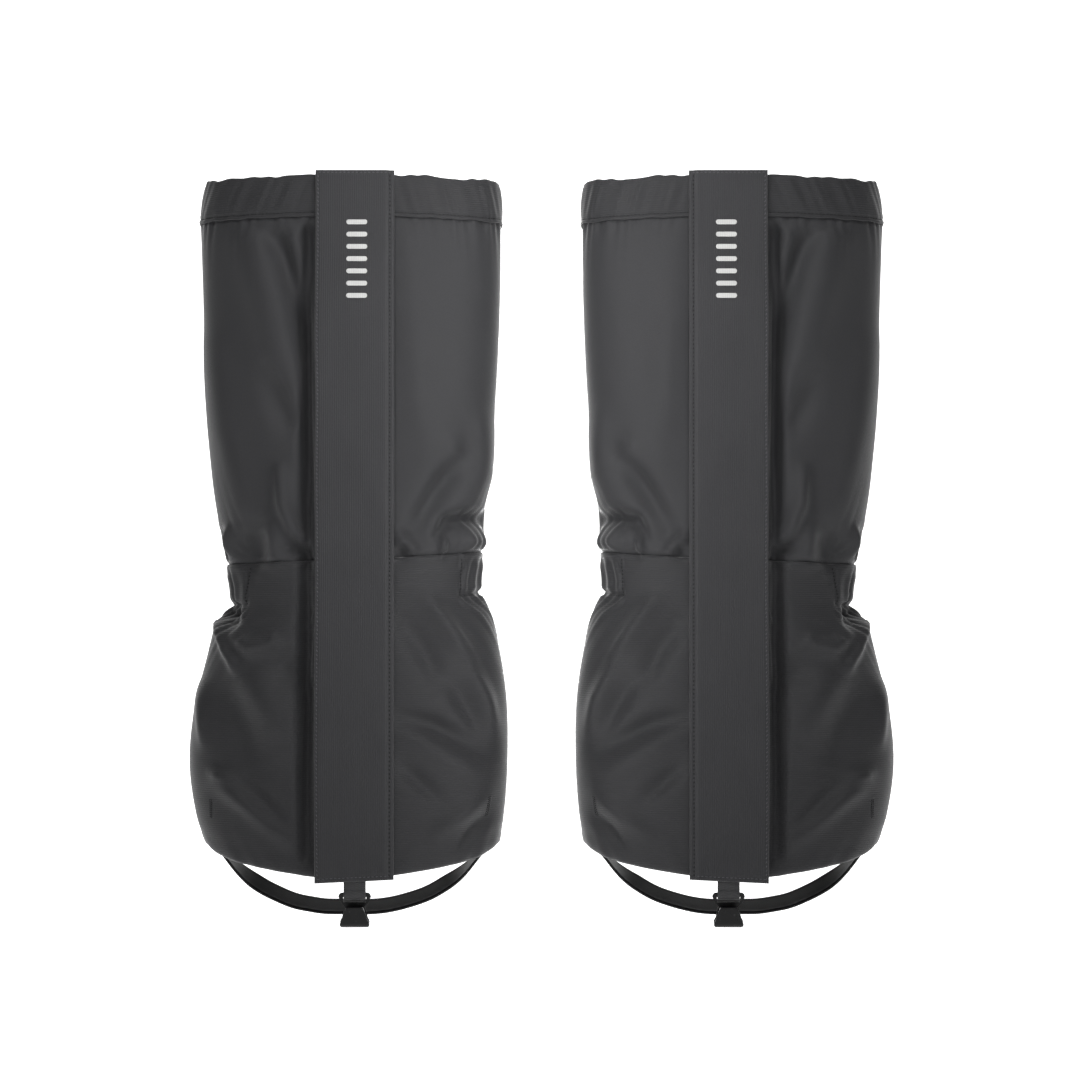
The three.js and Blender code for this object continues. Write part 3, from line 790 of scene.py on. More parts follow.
FRONT_FOLDS = (
    # outer half, upper panel
    Fold(((-62, 402), (-55, 372), (-46, 340), (-40, 305)), 2.6, 13),
    Fold(((-50, 404), (-40, 386), (-33, 362), (-28, 325)), -3.4, 6.5),
    Fold(((-34, 404), (-27, 380), (-25, 350)), 1.6, 6),
    Fold(((-50, 312), (-42, 292), (-34, 276)), -2.4, 8),
    Fold(((-84, 330), (-76, 280), (-66, 240), (-60, 214)), 1.6, 10),
    Fold(((-42, 252), (-40, 232), (-34, 216), (-24, 206)), 3.0, 4.6),
    Fold(((-38, 207), (-27, 203)), -2.6, 5),
    Fold(((-58, 216), (-62, 190)), -3.8, 9),
    Fold(((-75, 216), (-74, 200)), 2.4, 2.6),
    Fold(((-80, 214), (-78.5, 198)), -2.8, 3.0),
    Fold(((-47, 222), (-45, 196)), 2.0, 6),
    # outer half, lower panel
    Fold(((-78.5, 166), (-75, 158)), -4.2, 3.6),
    Fold(((-72, 170), (-70, 158)), -3.0, 2.6),
    Fold(((-82, 160), (-75, 142), (-69, 130)), 2.4, 3.4),
    Fold(((-72, 152), (-60, 144), (-48, 146)), 2.6, 5.5),
    Fold(((-48, 146), (-42, 150)), 1.6, 6),
    Fold(((-40, 134), (-30, 122)), -2.4, 8),
    Fold(((-62, 128), (-50, 108), (-38, 86)), 3.0, 13),
    Fold(((-78, 120), (-66, 96), (-60, 70)), -2.2, 11),
    Fold(((-80, 60), (-60, 46), (-36, 26)), 2.6, 6.5),
    Fold(((-84, 66), (-70, 62)), 1.4, 3.4),
    Fold(((-62, 58), (-40, 34)), -2.2, 6),
    Fold(((-92, 118), (-90, 84)), 1.6, 4),
    # beside the flap's free edge the cloth falls away
    Fold(((-24.5, 446), (-24.5, 300), (-24.5, 196)), -5.0, 5.0),
    Fold(((-25.5, 200), (-25, 110), (-25, 8)), -4.8, 5.2),
    # inner half, upper panel
    Fold(((36, 404), (38, 360), (42, 300), (50, 262)), 1.4, 11),
    Fold(((72, 262), (56, 240), (42, 218)), -3.2, 7),
    Fold(((30, 214), (42, 202)), 2.4, 3.6),
    Fold(((36, 206), (31, 199)), -1.6, 3),
    Fold(((57, 214), (62, 222), (72, 224), (84, 223)), -3.6, 4.4),
    Fold(((59, 212), (57.5, 200)), 2.0, 2.2),
    Fold(((68, 210), (82, 208)), 2.8, 7),
    Fold(((84, 285), (83, 250), (78, 236)), 1.8, 7),
    Fold(((62, 272), (72, 250)), 1.4, 8),
    # inner half, lower panel
    Fold(((50, 172), (62, 156), (74, 138)), 2.4, 6),
    Fold(((34, 160), (48, 142), (56, 124)), -2.4, 7.5),
    Fold(((76, 130), (84, 112), (89, 92)), 2.2, 5.5),
    Fold(((30, 102), (52, 96), (80, 82)), -2.8, 6.5),
    Fold(((64, 122), (76, 104), (82, 92)), -2.0, 6),
    Fold(((34, 70), (46, 60), (56, 52)), -2.2, 5.5),
    Fold(((56, 30), (70, 40), (84, 52)), 2.2, 6),
    Fold(((70, 22), (78, 32), (86, 38)), -1.6, 3.6),
    Fold(((40, 86), (60, 76), (84, 64)), 1.8, 8),
)
BACK_FOLDS = (
    Fold(((-60, 395), (-40, 340), (-20, 290)), 3.0, 12, True),
    Fold(((52, 398), (40, 330), (50, 270)), 2.6, 13, True),
    Fold(((-10, 370), (8, 310), (4, 250)), -2.6, 10, True),
    Fold(((-72, 300), (-50, 250), (-30, 226)), -3.0, 9, True),
    Fold(((70, 286), (52, 246), (30, 222)), -3.0, 9, True),
    Fold(((-60, 150), (-40, 110), (-46, 60)), 3.2, 12, True),
    Fold(((58, 148), (44, 104), (52, 50)), 3.2, 12, True),
    Fold(((-14, 150), (-6, 96), (-16, 44)), -2.6, 10, True),
    Fold(((20, 150), (26, 110), (14, 60)), 2.4, 9, True),
    Fold(((-84, 90), (-70, 60), (-40, 34)), -2.2, 8, True),
)


@dataclass
class ClothSheet:
    """A settled cloth as a grid of points with their lengths along the cloth."""

    grid: Array

    def sample(self, s: Array, t: Array) -> Array:
        """Cloth values between the grid's points.

        Args:
            s: share of the way round, from the inner edge to the outer one.
            t: share of the way up.

        Returns:
            x, y, z and the two lengths, at each place.
        """
        rows, columns = self.grid.shape[:2]
        found = np.zeros((*s.shape, self.grid.shape[2]))
        fs, ft = np.clip(s, 0, 1) * (columns - 1), np.clip(t, 0, 1) * (rows - 1)
        i = np.clip(np.floor(fs).astype(int), 0, columns - 2)
        j = np.clip(np.floor(ft).astype(int), 0, rows - 2)
        for dj, wj in zip(range(-1, 3), self.weights(ft - j)):
            for di, wi in zip(range(-1, 3), self.weights(fs - i)):
                jj = np.clip(j + dj, 0, rows - 1)
                ii = np.clip(i + di, 0, columns - 1)
                found += (wj * wi)[..., None] * self.grid[jj, ii]
        return found

    @staticmethod
    def weights(u: Array) -> tuple[Array, Array, Array, Array]:
        """Weights of the four neighbours for a smooth join.

        Args:
            u: share of the way from the second neighbour to the third.

        Returns:
            The weights.
        """
        return (
            -0.5 * u + u * u - 0.5 * u**3,
            1 - 2.5 * u * u + 1.5 * u**3,
            0.5 * u + 2 * u * u - 1.5 * u**3,
            -0.5 * u * u + 0.5 * u**3,
        )

    def outward(self, s: Array, t: Array) -> Array:
        """Unit normals that point out of the tube.

        Args:
            s: share of the way round.
            t: share of the way up.

        Returns:
            The normals.
        """
        d = 0.004
        across = self.sample(s + d, t)[..., :3] - self.sample(s - d, t)[..., :3]
        up = self.sample(s, t + d)[..., :3] - self.sample(s, t - d)[..., :3]
        normal = np.cross(across, up)
        return normal / np.linalg.norm(normal, axis=-1, keepdims=True)


@dataclass
class LegCloth:
    """Simulates the cloth of one leg tube between its seams, elastics and hems."""

    form: LegForm = field(default_factory=LegForm)
    columns: int = 156
    rows: int = 128
    frames: int = 26
    slack: float = 0.030
    ankle_slack: float = 0.10
    hold: float = 0.10
    farthest: float = 7.0 * MM
    panel_wall: float = 1.0 * MM

    def start(self, s: Array, t: Array) -> Array:
        """Where the cloth starts, with its large folds laid in.

        Args:
            s: share of the way round.
            t: share of the way up.

        Returns:
            The points.
        """
        level = level_of(t)
        angle = self.form.angle_at(s, level)
        base = self.form.point(level, angle, self.panel_wall)
        ahead = self.form.point(level, angle, self.panel_wall + MM)
        normal = (ahead - base) / MM
        lift = sum(
            fold.lift(base[..., 0], base[..., 2], base[..., 1])
            for fold in FRONT_FOLDS + BACK_FOLDS
        )
        keep = 1 - beneath_flap(base, 25 * MM)
        ends = step(level, 0.0, 0.06) * (1 - step(level, 1.94, 2.0))
        return base + normal * (lift * keep * ends)[..., None]

    def firmness(self, s: Array, t: Array) -> Array:
        """How firmly each point is held, from 0 to 1.

        Args:
            s: share of the way round.
            t: share of the way up.

        Returns:
            The firmness.
        """
        level = level_of(t)
        x = self.start(s, t)[..., 0]
        front = np.abs(s - 0.5) > 0.27
        flap = front * step(x, -26 * MM, -19 * MM) * step(-x, -32 * MM, -25 * MM)
        ends = 1 - step(t, 0.0, 0.02) + step(level, 1.9, 2.05)
        ankle = 0.25 * bell(level - 0.93, 0.07)
        return np.clip(self.hold + flap + ends + ankle, 0, 1)

    def cut(self, points: Array, t: Array) -> Array:
        """The cloth as it was cut, wider and longer than where it starts.

        Args:
            points: where the cloth starts.
            t: share of the way up.

        Returns:
            The points of the larger cloth.
        """
        level = level_of(t)
        wide = 1 + self.slack + self.ankle_slack * bell(level - 0.95, 0.16)
        made = points.copy()
        made[:, :2] *= wide[:, None]
        made[:, 2] *= 1 + self.slack
        return made

    def settle(self) -> ClothSheet:
        """Runs the cloth and reads where it settles.

        Returns:
            The settled cloth.
        """
        mesh, s, t = grid_mesh(self.columns, self.rows, "leg_cloth_start")
        start = self.start(s, t)
        points = start
        points = self.simulate(mesh, s, t, start)
        bpy.data.meshes.remove(mesh)
        order = np.lexsort((np.round(s * self.columns), np.round(t * self.rows)))
        shape = (self.rows + 1, self.columns + 1)
        grid = points[order].reshape(*shape, 3)
        base = start[order].reshape(*shape, 3)
        along = np.linalg.norm(np.diff(base, axis=1), axis=2).cumsum(1)
        along = np.concatenate([np.zeros((shape[0], 1)), along], 1)
        along -= along[:, [shape[1] // 2]]
        up = base[..., 2]
        return ClothSheet(np.dstack([grid, along, up]))

    def simulate(self, mesh: bpy.types.Mesh, s: Array, t: Array, start: Array) -> Array:
        """Lets the spare cloth buckle while its edges stay held.

        Args:
            mesh: a flat grid.
            s: each vertex's share of the way round.
            t: each vertex's share of the way up.
            start: where each vertex starts.

        Returns:
            Where each vertex ends.
        """
        scene = bpy.context.scene
        mesh.vertices.foreach_set("co", start.astype(np.float32).ravel())
        cloth = bpy.data.objects.new("leg_cloth", mesh)
        scene.collection.objects.link(cloth)
        cloth.shape_key_add(name="Start")
        pattern = cloth.shape_key_add(name="Pattern")
        pattern.data.foreach_set("co", self.cut(start, t).astype(np.float32).ravel())
        pattern.value = 0.0
        group = cloth.vertex_groups.new(name="held")
        for index, weight in enumerate(self.firmness(s, t).tolist()):
            group.add([index], weight, "REPLACE")
        modifier = cloth.modifiers.new("settle", "CLOTH")
        settings = modifier.settings
        settings.quality = 6
        settings.mass = 0.25
        settings.air_damping = 3.0
        settings.tension_stiffness = settings.compression_stiffness = 22
        settings.shear_stiffness = 9
        settings.bending_stiffness = 0.9
        settings.vertex_group_mass = "held"
        settings.pin_stiffness = 1.0
        settings.rest_shape_key = pattern
        settings.use_pressure = True
        settings.uniform_pressure_force = 0.25
        settings.effector_weights.gravity = 0.0
        modifier.collision_settings.use_collision = False
        modifier.point_cache.frame_start = 1
        modifier.point_cache.frame_end = self.frames
        for frame_number in range(1, self.frames + 1):
            scene.frame_set(frame_number)
        settled = cloth.evaluated_get(bpy.context.evaluated_depsgraph_get()).to_mesh()
        found = np.zeros(len(settled.vertices) * 3)
        settled.vertices.foreach_get("co", found)
        scene.frame_set(1)
        bpy.data.objects.remove(cloth)
        moved = found.reshape(-1, 3) - start
        far = np.linalg.norm(moved, axis=1, keepdims=True)
        LOG.info("cloth moved by up to %.1f mm, mean %.2f", far.max() / MM, far.mean() / MM)
        capped = self.farthest * np.tanh(far / self.farthest)
        return start + moved * (capped / np.maximum(far, 1e-9))


# ---- Meshes ----
def finished(bm: bmesh.types.BMesh, name: str) -> bpy.types.Mesh:
    """Turns what was modelled into a smooth mesh.

    Args:
        bm: what was modelled, which is freed.
        name: the mesh's name.

    Returns:
        The mesh.
    """
    mesh = bpy.data.meshes.new(name)
    bm.normal_update()
    bm.to_mesh(mesh)
    bm.free()
    mesh.polygons.foreach_set("use_smooth", np.ones(len(mesh.polygons), bool))
    return mesh


def grid_mesh(columns: int, rows: int, name: str) -> tuple[bpy.types.Mesh, Array, Array]:
    """A flat grid and where its vertices lie in it.

    Args:
        columns: faces across.
        rows: faces up.
        name: the mesh's name.

    Returns:
        The mesh, and each vertex's share across and up.
    """
    bm = bmesh.new()
    bm.loops.layers.uv.new("UVMap")
    bmesh.ops.create_grid(bm, x_segments=columns, y_segments=rows, size=1.0)
    mesh = finished(bm, name)
    flat = np.zeros(len(mesh.vertices) * 3)
    mesh.vertices.foreach_get("co", flat)
    flat = flat.reshape(-1, 3)
    return mesh, (flat[:, 0] + 1) / 2, (flat[:, 1] + 1) / 2


def sheet_mesh(
    name: str, columns: int, rows: int, place: Placer,
    rub: Optional[Callable[[Array, Array], Array]] = None,
) -> bpy.types.Mesh:
    """A grid laid out by a function of its two shares.

    Args:
        name: the mesh's name.
        columns: faces across.
        rows: faces up.
        place: gives points and cloth lengths for arrays of shares.
        rub: gives how rubbed the cloth is there.

    Returns:
        The mesh, with a UV map in metres.
    """
    mesh, s, t = grid_mesh(columns, rows, name)
    points, lengths = place(s, t)
    mesh.vertices.foreach_set("co", points.astype(np.float32).ravel())
    corners = np.zeros(len(mesh.loops), int)
    mesh.loops.foreach_get("vertex_index", corners)
    mesh.uv_layers[0].data.foreach_set("uv", lengths[corners].astype(np.float32).ravel())
    rubbed = np.zeros(len(s)) if rub is None else rub(s, t)
    attribute = mesh.attributes.new("rub", "FLOAT", "POINT")
    attribute.data.foreach_set("value", np.clip(rubbed, 0, 1).astype(np.float32))
    mesh.update()
    return mesh


@dataclass(frozen=True)
class Role:
    """What a piece is in the assembly. Names are given without their side."""

    body: str
    finish: bpy.types.Material
    slot: str
    stands_for: tuple[str, ...] = ()
    wall: float = 0.0
    round_edge: float = 0.0
    held: str = ""
    rests_on: tuple[str, ...] = ()
    bends_from: float = 0.0
    bends_to: float = 0.0


class Pair:
    """Places each piece of the left gaiter, and its mirror image on the right."""

    def __init__(self, loaded: dict[str, Any]) -> None:
        """Reads the left gaiter's place from its joints.

        Args:
            loaded: what the frame holds.
        """
        joints = {joint["name"]: joint for joint in loaded["joints"]}
        hinge = joints["left_strap_hinge"]["pos_m"]
        self.origin = np.array(hinge) - (0, 0, STRAP_MOUTH)
        self.made: list[str] = []

    def add(self, name: str, mesh: bpy.types.Mesh, role: Role) -> None:
        """Makes the left piece and the right one.

        Args:
            name: the piece's name, without its side.
            mesh: its mesh, in the left gaiter's own place.
            role: what it is in the assembly.
        """
        mesh.transform(Matrix.Translation(Vector(self.origin)))
        other = mesh.copy()
        other.transform(Matrix.Diagonal((-1.0, 1.0, 1.0, 1.0)))
        other.flip_normals()
        self.dress(Side.LEFT, name, mesh, role)
        self.dress(Side.RIGHT, name, other, role)
        LOG.info("%s: %d faces a side", name, len(mesh.polygons))
        self.made.append(name)

    def dress(self, side: Side, name: str, mesh: bpy.types.Mesh, role: Role) -> None:
        """Makes one piece and ties it to its body in the frame; a piece with a bend gets its place
        baked and no body.

        Args:
            side: which gaiter it is on.
            name: its name, without the side.
            mesh: its mesh, in its final place.
            role: what it is in the assembly.
        """
        prefix = side.value + "_"
        piece = bpy.data.objects.new(prefix + name, mesh)
        bpy.context.scene.collection.objects.link(piece)
        mesh.materials.clear()
        mesh.materials.append(role.finish)
        if role.wall:
            wall = piece.modifiers.new("wall", "SOLIDIFY")
            wall.thickness = role.wall
            wall.offset = -1.0
        if role.round_edge:
            edge = piece.modifiers.new("round_edge", "BEVEL")
            edge.width = role.round_edge
            edge.segments = 2
            edge.limit_method = "ANGLE"
            edge.angle_limit = math.radians(40)
        if role.bends_to:
            facing = 1 if side is Side.LEFT else -1
            start, end = (
                Vector((facing * (self.origin[0] + x), self.origin[1], 0.25))
                for x in (role.bends_from, role.bends_to)
            )
            prefix + role.body
            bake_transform(piece)
        else:
            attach(piece, prefix + role.body)
        if role.stands_for:
            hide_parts(*(prefix + node for node in role.stands_for))
        if role.held:
            lengths = np.zeros(len(mesh.loops) * 2)
            mesh.uv_layers[0].data.foreach_get("uv", lengths)
            rests = [prefix + node for node in role.rests_on]


# ---- The leg tube ----
@dataclass(frozen=True)
class Band:
    """A tape or an elastic that lies along the tube between two lines and two levels."""

    name: str
    low: Line
    high: Line
    levels: tuple[float, float]
    offset: float
    share: float
    faces: tuple[int, int]
    role: Role


@dataclass
class LegTube:
    """The cloth panels, the casings and the bands of one gaiter."""

    form: LegForm
    cloth: ClothSheet
    mesh_step: float = 1.7 * MM
    panel_width: float = 250 * MM
    lower_tall: float = 178 * MM
    upper_tall: float = 213 * MM
    girth: float = 500 * MM
    side_depth: float = 50 * MM
    rear_gap: float = 0.15 * MM
    band_outer_x: float = -63 * MM
    band_inner_x: float = 68.8 * MM
    band_bottom: float = 25 * MM
    casing_start_x: float = 25.0 * MM
    casing_height: float = 26 * MM
    casing_stitch: float = 2.6 * MM
    casing_middle: float = -0.5 * MM
    casing_turn: float = 1.6 * MM
    casing_cover: float = 26 * MM
    panel_wall: float = 0.9 * MM
    strap_half: float = 10 * MM

    def line(self, x: float) -> Line:
        """An upright line on the front.

        Args:
            x: the line's place across the leg.

        Returns:
            Its share of the way round, by share of the way up.
        """
        turn = 2 * np.pi if x > self.form.outer_edge else 0.0

        def shares(t: Array) -> Array:
            """The line's shares of the way round."""
            level = level_of(t)
            return self.form.share_at(self.form.front_angle(x, level) - turn, level)

        return shares

    def rear(self, away: float = 0.0) -> Line:
        """A line beside the back seam.

        Args:
            away: distance from the seam, to the outer side.

        Returns:
            Its share of the way round, by share of the way up.
        """
        return lambda t: self.form.share_at(np.pi / 2, level_of(t)) + away / self.girth

    def side(self, middle: float, away: float) -> Line:
        """A line up one side of the leg.

        Args:
            middle: angle of that side's middle.
            away: distance from it.

        Returns:
            Its share of the way round, by share of the way up.
        """
        turn = math.asin(min(1.0, (abs(away) / self.side_depth) ** 1.2))
        angle = middle + math.copysign(turn, away)
        return lambda t: self.form.share_at(angle, level_of(t))

    def around(self, x: Array, y: Array) -> Array:
        """The ankle channel's reach.

        Args:
            x: places across the leg.
            y: depths.

        Returns:
            1 where the channel runs and 0 between its two ends at the front.
        """
        edge = 1.6 * MM
        out = step(x, self.band_inner_x - edge, self.band_inner_x + edge)
        out = out + step(-x, -self.band_outer_x - edge, -self.band_outer_x + edge)
        return np.where(y > 0, 1.0, np.clip(out, 0, 1))

    def relief(self, found: Array, s: Array, t: Array, lapped: bool = False) -> Array:
        """Small shapes sewn into the panels: lips, grooves, gathers and hem roll.

        Args:
            found: sampled cloth.
            s: share of the way round.
            t: share of the way up.
            lapped: whether this is an upper panel, which laps behind the lower one.

        Returns:
            Height of the relief.
        """
        level = level_of(t)
        angle = self.form.angle_at(s, level)
        z = self.form.height(level, angle)
        hem, below, casing_gap = (
            self.form.height(np.full_like(level, mark), angle) - z for mark in (0.0, 1.0, 2.0)
        )
        run, ring = found[..., 3], self.around(found[..., 0], found[..., 1])
        covered = beneath_flap(found, 27 * MM)
        gathers = ripple(run, 9.5 * MM, 1.3), ripple(run, 5.6 * MM, 4.1)
        lower = self.lower_relief(found, below, -hem, ring, covered, gathers)
        upper = self.upper_relief(run, -below, casing_gap, ring, covered, gathers)
        return np.where(lapped | (level > 1.0), upper, lower) * MM

    def lower_relief(
        self, found: Array, below: Array, hem: Array, ring: Array, covered: Array,
        gathers: tuple[Array, Array],
    ) -> Array:
        """What is sewn into the lower panels: the lip, the ankle channel and the rolled hem.

        Args:
            found: sampled cloth.
            below: distance below the cross seam.
            hem: distance above the hem.
            ring: 1 where the ankle channel runs.
            covered: 1 beneath the flap.
            gathers: coarse and fine waves.

        Returns:
            The relief in millimetres.
        """
        x, y, run = found[..., 0], found[..., 1], found[..., 3]
        waves, fine = gathers
        lip = 0.5 * bell(below - 2.0 * MM, 1.7 * MM) - 0.3 * bell(below, 0.5 * MM)
        inside = step(below, 0.5 * MM, 9 * MM) * (1 - step(below, 21 * MM, 25.5 * MM))
        puff = 1.1 * inside * ring * (1 + 0.5 * waves)
        groove = -1.7 * bell(below - self.band_bottom, 1.3 * MM) * ring
        beyond = np.clip(below - self.band_bottom, 0, 1)
        skirt = (1.9 * waves + 0.5 * fine) * np.exp(-beyond / (13 * MM)) * ring
        skirt = skirt * step(below, 24 * MM, 29 * MM) + 0.55 * waves * inside * ring
        ends = bell(x - self.band_inner_x, 0.9 * MM) + bell(x - self.band_outer_x, 0.9 * MM)
        ends = ends * step(below, 0, 2 * MM) * (1 - step(below, 24 * MM, 27 * MM))
        roll = -0.9 * bell(hem, 1.1 * MM) + 0.35 * bell(hem - 5 * MM, 3.5 * MM)
        roll = roll + 0.5 * ripple(run, 17 * MM, 0.6) * np.exp(-hem / (12 * MM))
        return lip + puff + groove + skirt - 0.75 * ends * (y < 0) + roll * (1 - 0.6 * covered)

    def upper_relief(
        self, run: Array, above: Array, casing_gap: Array, ring: Array, covered: Array,
        gathers: tuple[Array, Array],
    ) -> Array:
        """What is sewn into the upper panels, which go on behind the lower panels' lip.

        Args:
            run: distance along the cloth.
            above: distance above the cross seam.
            casing_gap: distance below the casing.
            ring: 1 where the ankle channel runs.
            covered: 1 beneath the flap.
            gathers: coarse and fine waves.

        Returns:
            The relief in millimetres.
        """
        waves, fine = gathers
        dip = -1.35 * (1 - step(above, 0.1 * MM, 2.3 * MM))
        flare = (1.5 * waves + 0.4 * fine) * ring * np.exp(-np.clip(above, 0, 1) / (14 * MM))
        flare = flare * step(above, 1 * MM, 6 * MM)
        shirr = ripple(run, 8.0 * MM, 2.2) * np.exp(-np.clip(casing_gap, 0, 1) / (9 * MM))
        shirr = 0.8 * shirr - 0.5 * step(-casing_gap, -2 * MM, 1 * MM)
        return dip + flare + shirr * (1 - covered)

    def place(
        self, low: Line, high: Line, levels: tuple[float, float], offset: float,
        share: float = 1.0, lapped: bool = False,
    ) -> Placer:
        """Lays a sheet on the leg between two lines and two levels.

        Args:
            low: where it starts round the leg.
            high: where it ends.
            levels: its lower level and its upper one.
            offset: distance out from the panels' outer face.
            share: how much of the panels' relief it follows.
            lapped: whether this is an upper panel.

        Returns:
            The layout.
        """
        bottom, top = share_of(levels[0]), share_of(levels[1])

        def lay(a: Array, b: Array) -> tuple[Array, Array]:
            """Points and cloth lengths at shares of the sheet."""
            t = bottom + (top - bottom) * b
            s = low(t) + (high(t) - low(t)) * a
            found = self.cloth.sample(s, t)
            out = self.cloth.outward(s, t)
            lift = offset + share * self.relief(found, s, t, lapped)
            return found[:, :3] + out * lift[:, None], found[:, 3:5]

        return lay

    def panel(self, name: str, low: Line, high: Line, levels: tuple[float, float]) -> bpy.types.Mesh:
        """One of the four panels, rubbed at the hem, at the seam and where boots brush it.

        Args:
            name: the mesh's name.
            low: where it starts round the leg.
            high: where it ends.
            levels: its lower level and its upper one.

        Returns:
            The mesh.
        """
        lapped = levels[1] > 1
        tall = self.upper_tall if lapped else self.lower_tall
        columns, rows = round(self.panel_width / self.mesh_step), round(tall / self.mesh_step)
        bottom, top = share_of(levels[0]), share_of(levels[1])

        def rub(a: Array, b: Array) -> Array:
            """How rubbed the panel is."""
            level = level_of(bottom + (top - bottom) * b)
            hem, seam = bell(level, 0.045), bell(level - 1.0, 0.012)
            return hem * 0.8 + seam * 0.4 + 0.12 * bell(level - 0.3, 0.2)

        return sheet_mesh(name, columns, rows, self.place(low, high, levels, 0.0, lapped=lapped), rub)

    def casing_outline(self) -> tuple[Array, Array, Array]:
        """The casing's section: up the outside, over the rim and down the inside.

        Returns:
            Heights above the casing's foot, distances out, and lengths along the section.
        """
        shoulder, radius = self.casing_height - self.casing_turn, self.casing_turn
        turn = np.linspace(0, np.pi, 9)
        heights = np.concatenate([
            np.linspace(0, shoulder, 26)[:-1],
            shoulder + radius * np.sin(turn),
            np.linspace(shoulder, 3 * MM, 12)[1:],
        ])
        outs = self.casing_middle + radius * np.concatenate([
            np.ones(25), np.cos(turn), -np.ones(11)
        ])
        lengths = np.hypot(np.diff(heights), np.diff(outs)).cumsum()
        return heights, outs, np.concatenate([[0], lengths])

    def casing(self, name: str, low: Line, high: Line) -> bpy.types.Mesh:
        """One half of the folded casing.

        Args:
            name: the mesh's name.
            low: where it starts round the leg.
            high: where it ends.

        Returns:
            The mesh.
        """
        tall = self.casing_height
        heights, outs, length = self.casing_outline()

        def lay(a: Array, b: Array) -> tuple[Array, Array]:
            """Points and cloth lengths round the casing's fold.

            Args:
                a: share of the way round.
                b: share of the way along the section.

            Returns:
                The points and the lengths.
            """
            at = np.clip(b, 0, 1) * length[-1]
            h, d = np.interp(at, length, heights), np.interp(at, length, outs)
            t = share_of(2.0 + h / tall)
            s = low(t) + (high(t) - low(t)) * a
            found = self.cloth.sample(s, t)
            out = self.cloth.outward(s, np.minimum(t, 0.985))
            run, loose = found[:, 3], self.looseness(found)
            front = (at < length[24]).astype(float)
            groove = -0.6 * bell(h - self.casing_stitch, 0.7 * MM)
            lip = 0.35 * bell(h - 1.0 * MM, 0.8 * MM)
            swell = np.sin(np.pi * np.clip((h - 3 * MM) / (tall - 3 * MM), 0, 1)) ** 0.8
            swell = swell * (0.5 + 0.6 * ripple(run, 24 * MM, 3.0) + 0.3 * ripple(run, 10 * MM, 1.0))
            d = d + (groove + lip + swell * loose) * front * MM
            d = d + self.puckers(run) * loose * (1 - front * bell(h, 1 * MM))
            points = found[:, :3] + out * d[:, None]
            wobble = 0.9 * ripple(run, 31 * MM, 0.4) + 0.45 * ripple(run, 13 * MM, 2.0)
            points[:, 2] += wobble * MM * (h / tall) ** 2 * loose
            points[:, 2] += self.foot_sway(run) * bell(h, 3 * MM) * front * loose
            return points, np.stack([run, at], -1)

        def rub(a: Array, b: Array) -> Array:
            """The rim and the lower lip are rubbed."""
            at = b * length[-1]
            return 0.7 * bell(at - length[28], 2.5 * MM) + 0.4 * bell(at, 1.0 * MM)

        return sheet_mesh(name, 190, 58, lay, rub)

    def puckers(self, run: Array) -> Array:
        """How far the casing's small puckers stand out."""
        return 0.25 * MM * ripple(run, 7 * MM, 5.0)

    def foot_sway(self, run: Array) -> Array:
        """How far the casing's foot rises and falls."""
        return 0.35 * MM * ripple(run, 16 * MM, 1.7)

    def looseness(self, found: Array) -> Array:
        """How freely the casing waves: little beneath the flap."""
        return 1 - 0.85 * beneath_flap(found, self.casing_cover)

    def build(self, pair: Pair, finishes: "Finishes") -> None:
        """Builds every piece that is part of the tube.

        Args:
            pair: takes the pieces.
            finishes: the finishes.
        """
        front = self.line(self.casing_start_x)
        halves = (
            ("outer", (self.rear(self.rear_gap), np.ones_like), (self.rear(), np.ones_like)),
            ("inner", (np.zeros_like, self.rear(-self.rear_gap)), (front, self.rear())),
        )
        for name, sides, casing_sides in halves:
            lower = Role(
                "gaiter", finishes.lower, "lower_fabric", (f"lower_{name}_panel",),
                self.panel_wall, held="gathered", rests_on=(f"upper_{name}_panel",),
            )
            pair.add(f"lower_{name}_cloth", self.panel("lower", *sides, (0.0, 1.0)), lower)
            upper = Role(
                "gaiter", finishes.upper, "upper_fabric", (f"upper_{name}_panel",),
                self.panel_wall, held="hung", rests_on=("top_casing_outer",),
            )
            pair.add(f"upper_{name}_cloth", self.panel("upper", *sides, (0.984, 2.23)), upper)
            casing = Role(
                "gaiter", finishes.lower, "lower_fabric", (f"top_casing_{name}",),
                0.6 * MM, held="gathered", rests_on=("top_elastic",),
            )
            pair.add(f"casing_{name}_cloth", self.casing("casing", *casing_sides), casing)
        for band in self.bands(finishes):
            place = self.place(band.low, band.high, band.levels, band.offset, band.share)
            pair.add(band.name, sheet_mesh(band.name, *band.faces, place), band.role)

    def below_seam(self, *drops: float) -> tuple[float, ...]:
        """Levels at distances below the cross seam."""
        return tuple(1 - drop / self.form.lower_tall() for drop in drops)

    def bands(self, finishes: "Finishes") -> list[Band]:
        """The elastics, the seam tape, the loop tape, the binding and the strap's sewn ends.

        Args:
            finishes: the finishes.

        Returns:
            The bands, in the order in which they are made.
        """
        def role(finish: bpy.types.Material, slot: str, node: str, *sizes: float) -> Role:
            """What a band is: its finish, its slot, its node, and its wall and rounding."""
            return Role("gaiter", finish, slot, (node,), *sizes)

